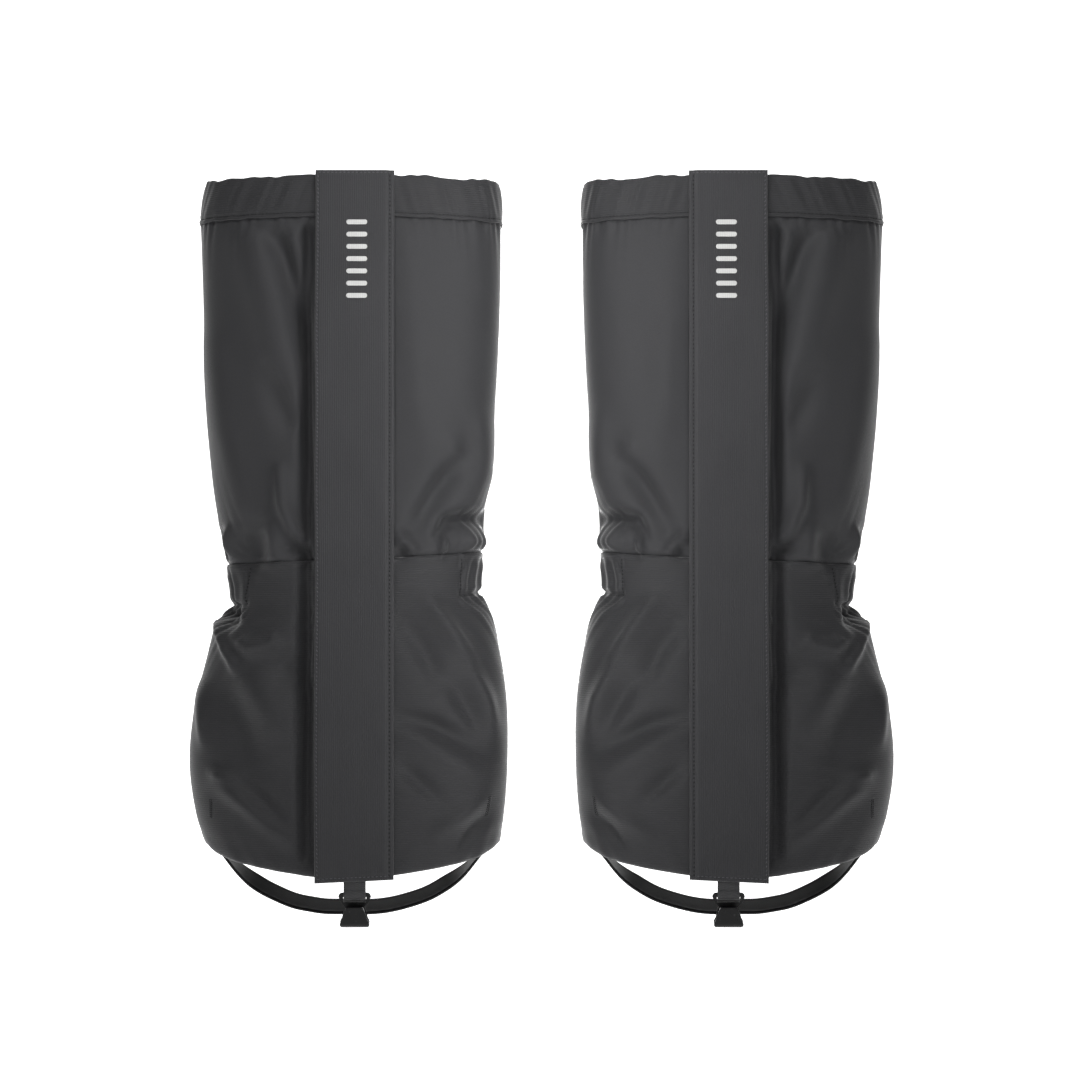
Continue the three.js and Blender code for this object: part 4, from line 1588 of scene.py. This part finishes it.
        ankle = self.line(self.band_inner_x), self.line(self.band_outer_x)
        bands = [
            Band("top_elastic_band", self.line(27.9 * MM), self.line(16.5 * MM), (2.26, 2.83),
                 -0.2 * MM, 0.0, (180, 10),
                 role(finishes.elastic, "elastic", "top_elastic", 0.8 * MM)),
            Band("ankle_elastic_band", *ankle, self.below_seam(22 * MM, 5 * MM),
                 -3.0 * MM, 0.5, (150, 12),
                 role(finishes.elastic, "elastic", "ankle_elastic", 0.7 * MM)),
            Band("ankle_casing_tape", *ankle, self.below_seam(25 * MM, 2 * MM),
                 -4.2 * MM, 0.6, (170, 16), role(finishes.tape, "tape", "ankle_casing", 0.6 * MM)),
            Band("back_seam_cover", self.rear(-10 * MM), self.rear(10 * MM), (0.01, 1.99),
                 -1.25 * MM, 1.0, (12, 200), role(finishes.tape, "tape", "back_seam_tape", 0.3 * MM)),
            Band("loop_pile_tape", self.line(-16 * MM), self.line(12 * MM), (0.104, 1.99),
                 1.05 * MM, 0.0, (20, 200),
                 role(finishes.loops, "closure_tape", "loop_tape", 0.75 * MM, 0.2 * MM)),
            Band("flap_seam_fold", np.zeros_like, self.line(24.6 * MM), (0.017, 2.96),
                 1.75 * MM, 0.0, (8, 200),
                 role(finishes.lower, "lower_fabric", "flap_seam_binding", 1.4 * MM, 0.3 * MM)),
        ]
        for name, middle in (("outer", np.pi), ("inner", 0.0)):
            edges = self.side(middle, -self.strap_half), self.side(middle, self.strap_half)
            sewn = role(finishes.webbing, "webbing", f"strap_anchor_{name}", 1.3 * MM, 0.3 * MM)
            bands.append(
                Band(f"strap_end_{name}", *edges, (0.016, 0.18), -1.5 * MM, 0.5, (14, 24), sewn)
            )
        return bands


# ---- The front closure ----
@dataclass
class FrontFlap:
    """The full-length flap with its hook tape and its printed dashes."""

    free: float = -20.2 * MM
    sewn: float = 28.6 * MM
    bottom: float = -1.2 * MM
    slant: float = 2.2 * MM
    top: float = 438.8 * MM
    out_of_leg: float = 54.1 * MM
    face: float = 0.6 * MM
    wall: float = 1.15 * MM
    lean: float = SHIN_LEAN
    stitch_in: float = 1.5 * MM
    seam_in: float = 2.7 * MM
    sink: float = 2.2 * MM
    bend: tuple[float, float] = (26.7 * MM, 22.4 * MM)
    tape_sides: tuple[float, float] = (-16 * MM, 12 * MM)
    tape_ends: tuple[float, float] = (18.5 * MM, 409 * MM)
    tape_gap: float = 0.25 * MM
    thread_lift: float = 0.12 * MM
    dashes: int = 7
    first_dash: float = 361 * MM
    dash_pitch: float = 7.6 * MM
    dash_half: float = 6.5 * MM
    dash_radius: float = 1.5 * MM
    dash_middle: float = 5.5 * MM

    def spot(self, x: Array, up: Array, out: Array) -> Array:
        """A point given along the shin's straight front line."""
        c, s = math.cos(self.lean), math.sin(self.lean)
        y = -self.out_of_leg + up * s - out * c
        return np.stack([x + 0 * up, y, up * c + out * s], -1)

    def foot(self, x: Array) -> Array:
        """Height of the slanting bottom edge."""
        return self.bottom + self.slant * (x - self.free) / (self.sewn - self.free)

    def relief(self, x: Array, up: Array) -> Array:
        """How the flap's face stands out of its plane.

        Args:
            x: place across.
            up: place up.

        Returns:
            The relief, without the thickness.
        """
        middle = bell(x - 3 * MM, 15 * MM)
        sway = 0.35 * ripple(up, 118 * MM, 0.8) + 0.25 * middle * ripple(up, 61 * MM, 2.1)
        loose = step(-x, -(self.free + 16 * MM), -self.free)
        sway = sway + loose * (0.55 + 0.35 * ripple(up, 83 * MM, 1.9))
        drawn = np.exp(-(up - self.bottom) / (13 * MM))
        sway = sway + 0.5 * drawn * ripple(x + 0.25 * up, 11 * MM, 0.9)
        sway = sway + 0.3 * bell(up - 250 * MM, 40 * MM) * ripple(x + up * 0.5, 36 * MM, 2.6)
        sewn = step(x, 22.4 * MM, self.sewn)
        return sway * (1 - 0.8 * sewn) * MM - self.sink * sewn

    def edges(self, x: Array, up: Array) -> Array:
        """Rounding at the edges and the grooves that the stitches pull.

        Args:
            x: place across.
            up: place up.

        Returns:
            The height in metres.
        """
        nearest = np.minimum(x - self.free, self.sewn - x)
        ends = np.minimum(self.top - up, up - self.foot(x) - 1.0 * MM)
        groove = bell(x - self.free - self.stitch_in, 0.5 * MM)
        groove = groove + 1.5 * bell(self.sewn - x - self.seam_in, 0.55 * MM)
        groove = groove + bell(ends - self.stitch_in, 0.5 * MM)
        nearest = np.minimum(nearest, np.minimum(self.top - up, up - self.foot(x)))
        turn = np.clip(1 - nearest / (0.8 * MM), 0, 1)
        plump = bell(nearest - 0.8 * MM, 0.6 * MM) * 0.18
        return (plump - 0.30 * np.clip(groove, 0, 1.5) - 0.45 * turn**2) * MM

    def face_at(self, x: Array, up: Array, lift: float = 0.0) -> Array:
        """Points on the flap's front face."""
        return self.spot(x, up, self.face + lift + self.relief(x, up) + self.edges(x, up))

    def lay(self, a: Array, b: Array) -> tuple[Array, Array]:
        """Points and cloth lengths at shares of the flap, crowded at its edges.

        Args:
            a: share across.
            b: share up.

        Returns:
            The points and the lengths.
        """
        width = self.sewn - self.free
        across = np.interp(a, (0, 0.09, 0.86, 1), (0, 2.2 * MM, width - 4 * MM, width))
        x = self.free + across
        foot = self.foot(x)
        share = np.interp(b, (0, 0.015, 0.985, 1), (0, 0.006, 0.994, 1))
        up = foot + (self.top - foot) * share
        edge = 0.3 * MM * ripple(up, 140 * MM, 1.0) * (1 - across / width)
        points = self.face_at(x, up)
        points[:, 0] += edge
        return points, np.stack([x, up], -1)

    def build(self, pair: Pair, finishes: "Finishes") -> None:
        """Builds the flap and what is on it.

        Args:
            pair: takes the pieces.
            finishes: the finishes.
        """
        def rub(a: Array, b: Array) -> Array:
            """The flap's edges are rubbed."""
            side = bell(a, 0.02) + bell(a - 1, 0.02)
            return 0.6 * side + 0.8 * bell(b - 1, 0.004) + 0.8 * bell(b, 0.005)

        mesh = sheet_mesh("flap", 60, 290, self.lay, rub)
        role = Role(
            "flap", finishes.flap, "flap_fabric", ("front_flap",), self.wall, held="hung",
            rests_on=("flap_seam_binding",), bends_from=self.bend[0], bends_to=self.bend[1],
        )
        pair.add("flap_cloth", mesh, role)
        hooks = Role("flap", finishes.hooks, "closure_tape", ("flap_hook_tape",), 0.6 * MM, 0.15 * MM)
        pair.add("hook_pile_tape", sheet_mesh("tape", 20, 200, self.tape), hooks)
        ink = Role("flap", finishes.ink, "flap_fabric", (), 0.1 * MM)
        for count in range(self.dashes):
            up = self.first_dash + count * self.dash_pitch
            pair.add(f"ink_dash_{count + 1}", sheet_mesh("dash", 34, 8, self.dash(up)), ink)

    def tape(self, a: Array, b: Array) -> tuple[Array, Array]:
        """Points and cloth lengths at shares of the hook tape on the flap's back.

        Args:
            a: share across.
            b: share up.

        Returns:
            The points and the lengths.
        """
        left, right = self.tape_sides
        foot, top = self.tape_ends
        x, up = left + (right - left) * a, foot + (top - foot) * b
        out = self.face - self.wall - self.tape_gap + self.relief(x, up)
        return self.spot(x, up, out), np.stack([x, up], -1)

    def dash(self, middle: float) -> Placer:
        """A short dash with round ends printed across the flap.

        Args:
            middle: its height.

        Returns:
            The layout.
        """
        def lay(a: Array, b: Array) -> tuple[Array, Array]:
            """Points of the dash."""
            half, radius = self.dash_half, self.dash_radius
            past = np.abs(2 * a - 1) ** 0.8 * np.sign(2 * a - 1) * half
            cap = np.clip(np.abs(past) - (half - radius), 0, radius)
            tall = np.sqrt(np.clip(radius**2 - cap**2, (0.02 * radius) ** 2, None))
            x = self.dash_middle + past
            up = middle + (2 * b - 1) * tall
            return self.face_at(x, up, self.thread_lift), np.stack([x, up], -1)

        return lay


# ---- Stitching ----
@dataclass
class Stitching:
    """Rows of single stitches along lines on the cloth."""

    tube: LegTube
    flap: FrontFlap
    pitch: float = 2.6 * MM
    length: float = 1.75 * MM
    width: float = 0.5 * MM
    close_points: int = 700
    round_points: int = 900
    casing_lift: float = 0.72 * MM
    casing_pitch: float = 2.4 * MM
    tack_pitch: float = 1.3 * MM
    tack_places: tuple[float, float] = (-84.6 * MM, 85.3 * MM)
    tack_heights: tuple[float, float] = (37.5 * MM, 50 * MM)

    def sew(
        self, bm: bmesh.types.BMesh, points: Array, normals: Array, pitch: float,
        slew: float = 0.0, thick: float = 1.0,
    ) -> None:
        """Sews one row.

        Args:
            bm: the mesh that the stitches go into.
            points: close points along the row.
            normals: the cloth's normals there.
            pitch: from one stitch to the next.
            slew: how far each stitch turns from the row, in radians.
            thick: the thread's thickness against the usual one.
        """
        lengths = np.concatenate([[0], np.linalg.norm(np.diff(points, axis=0), axis=1).cumsum()])
        count = max(1, round(lengths[-1] / pitch))
        middles = (np.arange(count) + 0.5) * lengths[-1] / count
        half = self.length / 2 * min(1.0, pitch / self.pitch)

        def along(values: Array, shift: float) -> Array:
            """Vectors at every stitch, or beside it."""
            spots = middles + shift
            return np.stack([np.interp(spots, lengths, values[:, k]) for k in range(3)], -1)

        ends = along(points, -half), along(points, half)
        for middle, start, stop, normal in zip(along(points, 0.0), *ends, along(normals, 0.0)):
            forward = Vector(stop - start).normalized()
            normal = Vector(normal).normalized()
            forward = Matrix.Rotation(slew, 3, normal) @ forward
            across = normal.cross(forward).normalized()
            normal = forward.cross(across)
            wide = self.width * thick
            turn = Matrix((forward * half, across * wide / 2, normal * wide * 0.42))
            place = Matrix.Translation(Vector(middle)) @ turn.transposed().to_4x4()
            bmesh.ops.create_uvsphere(bm, u_segments=6, v_segments=4, radius=1.0, matrix=place)

    def on_tube(self, s: Array, t: Array, lift: float = 0.12 * MM) -> tuple[Array, Array]:
        """Points and normals along a line on the panels.

        Args:
            s: share of the way round.
            t: share of the way up.
            lift: height above the cloth.

        Returns:
            The points and the normals.
        """
        found = self.tube.cloth.sample(s, t)
        out = self.tube.cloth.outward(s, t)
        height = self.tube.relief(found, s, t) + lift
        return found[:, :3] + out * height[:, None], out

    def build(self, pair: Pair, finishes: "Finishes") -> None:
        """Builds the rows on the flap, the casing, the ankle, the back and the hem corners.

        Args:
            pair: takes the pieces.
            finishes: the finishes.
        """
        flap_role = Role(
            "flap", finishes.thread, "flap_fabric",
            bends_from=self.flap.bend[0], bends_to=self.flap.bend[1],
        )
        # The charcoal thread is lightened past its own dark charcoal to stand for lit stitches:
        # partly its own colour, partly painted light.
        pair.add("flap_stitches", self.flap_rows(), flap_role)
        seam_role = replace(flap_role, finish=finishes.hole_shade_thread)
        # The near-black thread on the flap's sewn edge, the casing, the ankle and the bar tacks is
        # painted shade of the stitch holes. It is drawn thicker on the sewn edge and at the ankle.
        pair.add("flap_seam_stitches", self.flap_seam(), seam_role)
        leg = Role("gaiter", finishes.thread, "lower_fabric")
        hole_shade_role = Role("gaiter", finishes.hole_shade_thread, "lower_fabric")
        pair.add("casing_stitches", self.casing_row(), hole_shade_role)
        pair.add("ankle_stitches", self.ankle_rows(), hole_shade_role)
        pair.add("back_stitches", self.back_rows(), leg)
        pair.add("bar_tacks", self.bar_tacks(), hole_shade_role)

    def flap_rows(self) -> bpy.types.Mesh:
        """Rows inside the flap's four edges.

        Returns:
            The mesh.
        """
        flap, bm = self.flap, bmesh.new()
        inset, lift = flap.stitch_in, flap.thread_lift
        ends = np.linspace(0, 1, self.close_points)
        x = flap.free + inset
        foot = flap.foot(np.array(x)) + inset
        up = foot + (flap.top - 1.0 * MM - inset - foot) * ends
        xs = x + 0.3 * MM * ripple(up, 140 * MM, 1.0)
        self.sew(bm, flap.face_at(xs, up, lift), self.facing(len(up)), self.pitch, 0.5)
        for foot_row in (False, True):
            xs = flap.free + inset + (flap.sewn - flap.free - 2 * inset) * ends[::7]
            up = flap.foot(xs) + inset + 1.0 * MM if foot_row else np.full_like(xs, flap.top - inset)
            self.sew(bm, flap.face_at(xs, up, lift), self.facing(len(xs)), self.pitch)
        return finished(bm, "flap_stitches")

    def flap_seam(self) -> bpy.types.Mesh:
        """The row that sews the flap to the inner panels.

        Returns:
            The mesh.
        """
        flap, bm = self.flap, bmesh.new()
        x = flap.sewn - flap.seam_in
        foot = flap.foot(np.array(x)) + flap.stitch_in
        up = np.linspace(float(foot), flap.top - 2.5 * MM, self.close_points)
        xs = np.full_like(up, x)
        self.sew(bm, flap.face_at(xs, up, 0.16 * MM), self.facing(len(up)), self.pitch, 0.1, 1.7)
        return finished(bm, "flap_seam_stitches")

    def facing(self, count: int) -> Array:
        """The flap's normal, many times over."""
        c, s = math.cos(self.flap.lean), math.sin(self.flap.lean)
        return np.tile(np.array([0.0, -c, s]), (count, 1))

    def casing_row(self) -> bpy.types.Mesh:
        """The row that closes the top casing.

        Returns:
            The mesh.
        """
        tube, bm = self.tube, bmesh.new()
        t = np.full(self.round_points, share_of(2 + tube.casing_stitch / tube.casing_height))
        rear = tube.rear()(t)
        start = tube.line(tube.casing_start_x)(t)
        for low, high in ((start, rear - 0.001), (rear + 0.001, np.ones_like(t))):
            s = low + (high - low) * np.linspace(0, 1, self.round_points)
            found = tube.cloth.sample(s, t)
            out = tube.cloth.outward(s, t)
            run, loose = found[:, 3], tube.looseness(found)
            lift = self.casing_lift + tube.puckers(run) * loose
            points = found[:, :3] + out * lift[:, None]
            sag = bell(tube.casing_stitch, 3 * MM)
            points[:, 2] += tube.foot_sway(run) * sag * loose
            self.sew(bm, points, out, self.casing_pitch)
        return finished(bm, "casing_stitches")

    def ankle_rows(self) -> bpy.types.Mesh:
        """The rows round the ankle channel.

        Returns:
            The mesh.
        """
        tube, bm = self.tube, bmesh.new()
        ends = tube.line(tube.band_inner_x), tube.line(tube.band_outer_x)
        for end in ends:
            t = share_of(1 - np.linspace(2.5 * MM, tube.band_bottom, 60) / tube.form.lower_tall())
            self.sew(bm, *self.on_tube(end(t), t, 0.1 * MM), 2.3 * MM, 0.0, 1.7)
        t = np.full(self.round_points, share_of(*tube.below_seam(tube.band_bottom)))
        low, high = (end(t) for end in ends)
        s = low + (high - low) * np.linspace(0, 1, self.round_points)
        self.sew(bm, *self.on_tube(s, t), self.pitch)
        return finished(bm, "ankle_stitches")

    def back_rows(self) -> bpy.types.Mesh:
        """Two rows beside the back seam.

        Returns:
            The mesh.
        """
        bm = bmesh.new()
        for away in (-3.2 * MM, 3.2 * MM):
            for low, high in ((0.02, 0.985), (1.015, 1.97)):
                t = share_of(np.linspace(low, high, 500))
                self.sew(bm, *self.on_tube(self.tube.rear(away)(t), t), self.pitch)
        return finished(bm, "back_stitches")

    def bar_tacks(self) -> bpy.types.Mesh:
        """Close zigzags that hold the instep strap's sewn ends.

        Returns:
            The mesh.
        """
        bm = bmesh.new()
        ends = (13 * MM, 198 * MM)
        t = share_of(np.interp(np.linspace(*self.tack_heights, 60), ends, (0, 1)))
        for x in self.tack_places:
            for shift, slew in ((-0.5 * MM, 0.5), (0.5 * MM, -0.5)):
                s = self.tube.line(x + shift)(t)
                self.sew(bm, *self.on_tube(s, t), self.tack_pitch, slew, 1.5)
        return finished(bm, "bar_tacks")


# ---- Hook, tab and strap ----
@dataclass
class LaceHook:
    """The bent metal hook and the webbing loop that it hangs from."""

    middle: float = 4.7 * MM
    bar_up: float = -8.2 * MM
    bar_out: float = 52.55 * MM
    tab_width: float = 13.5 * MM
    tab_top: float = 25.2 * MM
    layer: float = 0.8 * MM
    eye: float = 2.45 * MM
    webbing_half: float = 0.5 * MM
    webbing_meets: float = 5.4 * MM
    ear_low: float = 8.2 * MM
    slot_low: float = 6.98 * MM
    ear_foot: tuple[float, float] = (-5.5 * MM, -3.9 * MM)
    ear_inside: float = 7 * MM
    ear_outside: float = 9 * MM
    foot_top: float = -12 * MM
    neck_half: float = 5.35 * MM
    neck_up: float = -7.3 * MM
    foot_flare: float = 0.409
    rounding: float = 0.3 * MM
    lean: float = SHIN_LEAN

    def tab(self, a: Array, b: Array) -> tuple[Array, Array]:
        """The webbing: down the front, round the hook's bar and up the back.

        Args:
            a: share across.
            b: share of the way along.

        Returns:
            The points and the lengths.
        """
        half, meets = self.webbing_half, self.webbing_meets
        turn = np.linspace(math.radians(68), math.radians(-248), 40)
        # sideways is out of the leg, and up is up the shin
        outs = np.concatenate([[half, half], self.eye * np.cos(turn), [-half, -half]])
        ups = np.concatenate([
            [self.tab_top, meets], self.eye * np.sin(turn), [meets, self.tab_top]
        ])
        length = np.concatenate([[0], np.hypot(np.diff(outs), np.diff(ups)).cumsum()])
        at = np.clip(b, 0, 1) * length[-1]
        out, up = np.interp(at, length, outs), np.interp(at, length, ups)
        x = (a - 0.5) * self.tab_width
        out = out - 0.15 * MM * (2 * np.abs(a - 0.5)) ** 6
        c, s = math.cos(self.lean), math.sin(self.lean)
        y = -self.bar_out + up * s - out * c
        z = self.bar_up + up * c + out * s
        return np.stack([self.middle + x, y, z], -1), np.stack([x, at], -1)

    def hook(self, loaded: dict[str, Any], origin: Array) -> bpy.types.Mesh:
        """The hook's own solid with its edges rounded.

        Args:
            loaded: what the frame holds.
            origin: the left gaiter's place.

        Returns:
            The mesh.
        """
        bm = bmesh.new()
        bm.from_mesh(loaded["nodes"]["left_lace_hook"].data)
        bmesh.ops.remove_doubles(bm, verts=bm.verts[:], dist=0.01 * MM)
        bmesh.ops.dissolve_limit(
            bm, angle_limit=math.radians(4), verts=bm.verts[:], edges=bm.edges[:]
        )
        bmesh.ops.translate(bm, verts=bm.verts[:], vec=-Vector(origin))
        for vert in bm.verts:
            self.taper(vert)
        bm.normal_update()
        sharp = [e for e in bm.edges if len(e.link_faces) == 2 and e.calc_face_angle(0) > 0.7]
        bmesh.ops.bevel(
            bm, geom=sharp, offset=self.rounding, offset_type="OFFSET", segments=3, profile=0.5,
            affect="EDGES", material=-1, clamp_overlap=True,
        )
        mesh = finished(bm, "hook")
        mesh.set_sharp_from_angle(angle=math.radians(38))
        return mesh

    def taper(self, vert: bmesh.types.BMVert) -> None:
        """Slants the frame's ears towards its neck, and keeps the foot in line with the tongue.

        Args:
            vert: a vertex of the hook.
        """
        x, up = vert.co.x - self.middle, vert.co.z - self.bar_up
        half = abs(x)
        if self.ear_foot[0] < up < self.ear_foot[1] and half > self.ear_inside:
            half = self.ear_low if half > self.ear_outside else self.slot_low
        if up < self.foot_top:
            half = min(half, self.neck_half + self.foot_flare * (self.neck_up - up))
        vert.co.x = self.middle + math.copysign(half, x)

    def build(self, pair: Pair, finishes: "Finishes", loaded: dict[str, Any]) -> None:
        """Builds the tab and the hook.

        Args:
            pair: takes the pieces.
            finishes: the finishes.
            loaded: what the frame holds.
        """
        tab = Role("gaiter", finishes.webbing, "webbing", ("hook_tab",), self.layer, 0.2 * MM)
        pair.add("hook_loop_webbing", sheet_mesh("tab", 14, 90, self.tab), tab)
        hook = Role("hook", finishes.metal, "hook_metal", ("lace_hook",))
        pair.add("bent_lace_hook", self.hook(loaded, pair.origin), hook)


@dataclass
class InstepStrap:
    """The moulded strap that runs under the boot."""

    form: LegForm
    mouth: float = STRAP_MOUTH
    lowest: float = -19.5 * MM
    width: float = 20 * MM
    wall: float = 1.5 * MM
    tilt: float = math.radians(22)
    curve: float = 2.6
    inset: float = 4.0 * MM
    top_gap: float = 0.4 * MM

    def centre(self, t: Array) -> Array:
        """The strap's centre line, from -1 at the outer end to 1 at the inner one.

        Args:
            t: places from -1 to 1.

        Returns:
            The points.
        """
        level = np.full_like(t, (self.mouth - self.form.hem_side) / self.form.lower_tall())
        outer = -self.form.point(level, np.full_like(t, np.pi))[..., 0]
        inner = self.form.point(level, np.zeros_like(t))[..., 0]
        span = np.where(t < 0, outer, inner) - self.inset
        z = self.lowest + (self.mouth - self.top_gap - self.lowest) * np.abs(t) ** self.curve
        return np.stack([t * span, 0 * t, z], -1)

    def lay(self, a: Array, b: Array) -> tuple[Array, Array]:
        """Points and lengths at shares along and across the strap.

        Args:
            a: share along.
            b: share across.

        Returns:
            The points and the lengths.
        """
        t = 2 * a - 1
        along = self.centre(t + 1e-3) - self.centre(t - 1e-3)
        along /= np.linalg.norm(along, axis=1, keepdims=True)
        across = np.tile(np.array([0.0, 1.0, 0.0]), (len(t), 1))
        up = np.cross(along, across)
        tilt = self.tilt * (1 - step(np.abs(t), 0.66, 1.0))
        c, s = np.cos(tilt)[:, None], np.sin(tilt)[:, None]
        wide, out = across * c + np.cross(along, across) * s, up * c + np.cross(along, up) * s
        side = (b - 0.5) * self.width
        edge = np.clip((np.abs(side) - self.width / 2 + 1.2 * MM) / (1.2 * MM), 0, 1)
        rise = self.wall / 2 + 0.14 * MM * bell(np.abs(side) - 8.3 * MM, 0.6 * MM)
        rise = rise - 0.1 * MM * edge**2 + 0.2 * MM * ripple(t * 0.15, 47 * MM, 1.0)
        points = self.centre(t) + wide * side[:, None] + out * rise[:, None]
        return points, np.stack([side, t * 110 * MM], -1)

    def build(self, pair: Pair, finishes: "Finishes") -> None:
        """Builds the strap.

        Args:
            pair: takes the pieces.
            finishes: the finishes.
        """
        role = Role("strap", finishes.strap, "webbing", ("instep_strap",), self.wall, 0.35 * MM)
        mesh = sheet_mesh("strap", 150, 24, self.lay)
        pair.add("instep_strap_band", mesh, role)


@dataclass(frozen=True)
class Finishes:
    """The finishes of the pair, made once."""

    upper: bpy.types.Material
    lower: bpy.types.Material
    flap: bpy.types.Material
    tape: bpy.types.Material
    elastic: bpy.types.Material
    webbing: bpy.types.Material
    strap: bpy.types.Material
    metal: bpy.types.Material
    thread: bpy.types.Material
    # Near-black thread: painted shade of the stitch holes.
    hole_shade_thread: bpy.types.Material
    loops: bpy.types.Material
    hooks: bpy.types.Material
    ink: bpy.types.Material


def make_finishes() -> Finishes:
    """Makes every finish.

    Returns:
        The finishes.
    """
    return Finishes(
        upper=WovenFabric("plain_shell", 0.018, Ribs.NONE, rib_depth=0.09 * MM, roughness=0.5,
                          sheen=0.14).material(),
        lower=WovenFabric("level_rib_shell", 0.0155, Ribs.LEVEL, roughness=0.56).material(),
        flap=WovenFabric("upright_rib_shell", 0.019, Ribs.UPRIGHT, roughness=0.56).material(),
        tape=Webbing("seam_tape", 0.02, 0.9 * MM, 0.06 * MM).material(),
        elastic=Webbing("knitted_elastic", 0.024, 1.7 * MM, 0.2 * MM).material(),
        webbing=Webbing("black_webbing", 0.015).material(),
        strap=MouldedStrap("moulded_strap").material(),
        metal=PaintedMetal("black_paint").material(),
        # Charcoal thread lightened to stand for lit stitches: partly its own colour, partly painted
        # light.
        thread=Thread("charcoal_thread", 0.07).material(),
        # Near-black thread: painted shade of the stitch holes, not the thread's own colour.
        hole_shade_thread=Thread("black_thread", 0.004).material(),
        loops=TouchTape("loop_pile", 0.02, 900.0, 0.35 * MM).material(),
        hooks=TouchTape("hook_pile", 0.016, 620.0, 0.5 * MM).material(),
        ink=PaleInk().material(),
    )


# ---- Studio ----
@dataclass(frozen=True)
class Softbox:
    """A rectangular lamp that faces a point."""

    name: str
    place: tuple[float, float, float]
    target: tuple[float, float, float]
    width: float
    height: float
    watts: float
    spread: float = 180.0

    def build(self) -> None:
        """Hangs the lamp."""
        lamp = bpy.data.lights.new(self.name, "AREA")
        lamp.shape = "RECTANGLE"
        lamp.size, lamp.size_y, lamp.energy = self.width, self.height, self.watts
        lamp.spread = math.radians(self.spread)
        hung = bpy.data.objects.new(self.name, lamp)
        bpy.context.scene.collection.objects.link(hung)
        hung.location = self.place
        aim = Vector(self.target) - Vector(self.place)
        hung.rotation_euler = aim.to_track_quat("-Z", "Y").to_euler()


@dataclass
class Studio:
    """The camera, the lamps and the pale sweep."""

    lens: float = 160.0
    distance: float = 3.0
    middle: tuple[float, float] = (-0.001, 0.2381)
    softboxes: tuple[Softbox, ...] = (
        Softbox("front_high", (0.0, -0.7, 1.1), (0, 0, 0.45), 0.6, 0.34, 6.6),
        Softbox("key_for_left", (0.40, -0.56, 0.52), (-0.14, 0, 0.36), 0.12, 0.36, 0.25, 46.0),
        Softbox("key_for_right", (-0.40, -0.56, 0.52), (0.14, 0, 0.36), 0.12, 0.36, 0.25, 46.0),
        Softbox("between_front", (0.0, -0.13, 0.28), (0, 0, 0.28), 0.03, 0.46, 0.27),
        Softbox("between_back", (0.0, 0.2, 0.29), (0, 0, 0.29), 0.03, 0.5, 0.9),
    )
    ambient: float = 0.20

    def build(self) -> None:
        """Sets the camera, the lamps and the sweep."""
        scene = bpy.context.scene
        camera = bpy.data.cameras.new("camera")
        camera.lens, camera.sensor_width = self.lens, 36.0
        stand = bpy.data.objects.new("camera", camera)
        scene.collection.objects.link(stand)
        stand.location = (self.middle[0], -self.distance, self.middle[1])
        stand.rotation_euler = (math.pi / 2, 0, 0)
        scene.camera = stand
        scene.view_settings.view_transform = "Standard"
        scene.view_settings.look = "None"
        world = bpy.data.worlds.new("even_light")
        world.use_nodes = True
        background = world.node_tree.nodes["Background"]
        background.inputs["Color"].default_value = (1, 1, 1, 1)
        background.inputs["Strength"].default_value = self.ambient
        scene.world = world
        for softbox in self.softboxes:
            softbox.build()
        self.sweep()

    def sweep(self) -> None:
        """The floor that curves up behind the pair."""
        bm = bmesh.new()
        corners = [bm.verts.new((x, -4.0, -0.001)) for x in (-6.0, 6.0)]
        edge = bm.edges.new(corners)
        bend = [(0, math.cos(math.radians(a)) * 0.16, math.sin(math.radians(a)) * 0.16)
                for a in range(5, 90, 10)]
        for shift in ((0, 6.0, 0), *bend, (0, 0, 6.0)):
            made = bmesh.ops.extrude_edge_only(bm, edges=[edge])["geom"]
            moved = [g for g in made if isinstance(g, bmesh.types.BMVert)]
            bmesh.ops.translate(bm, verts=moved, vec=Vector(shift))
            edge = next(
                g for g in made
                if isinstance(g, bmesh.types.BMEdge) and all(v in moved for v in g.verts)
            )
        bmesh.ops.recalc_face_normals(bm, faces=bm.faces[:])
        mesh = finished(bm, "paper_sweep")
        mesh.materials.append(PalePaper().material())
        paper = bpy.data.objects.new("paper_sweep", mesh)
        bpy.context.scene.collection.objects.link(paper)


def main() -> None:
    """Builds the studio and every piece of the pair, in order."""
    logging.basicConfig(level=logging.INFO, format="%(name)s: %(message)s")
    Studio().build()
    finishes = make_finishes()
    pair = Pair(frame)
    form = LegForm()
    tube = LegTube(form, LegCloth(form).settle())
    tube.build(pair, finishes)
    flap = FrontFlap()
    flap.build(pair, finishes)
    LaceHook().build(pair, finishes, frame)
    InstepStrap(form).build(pair, finishes)
    Stitching(tube, flap).build(pair, finishes)
    LOG.info("%d pieces a side", len(pair.made))


if __name__ == "__main__":
    main()
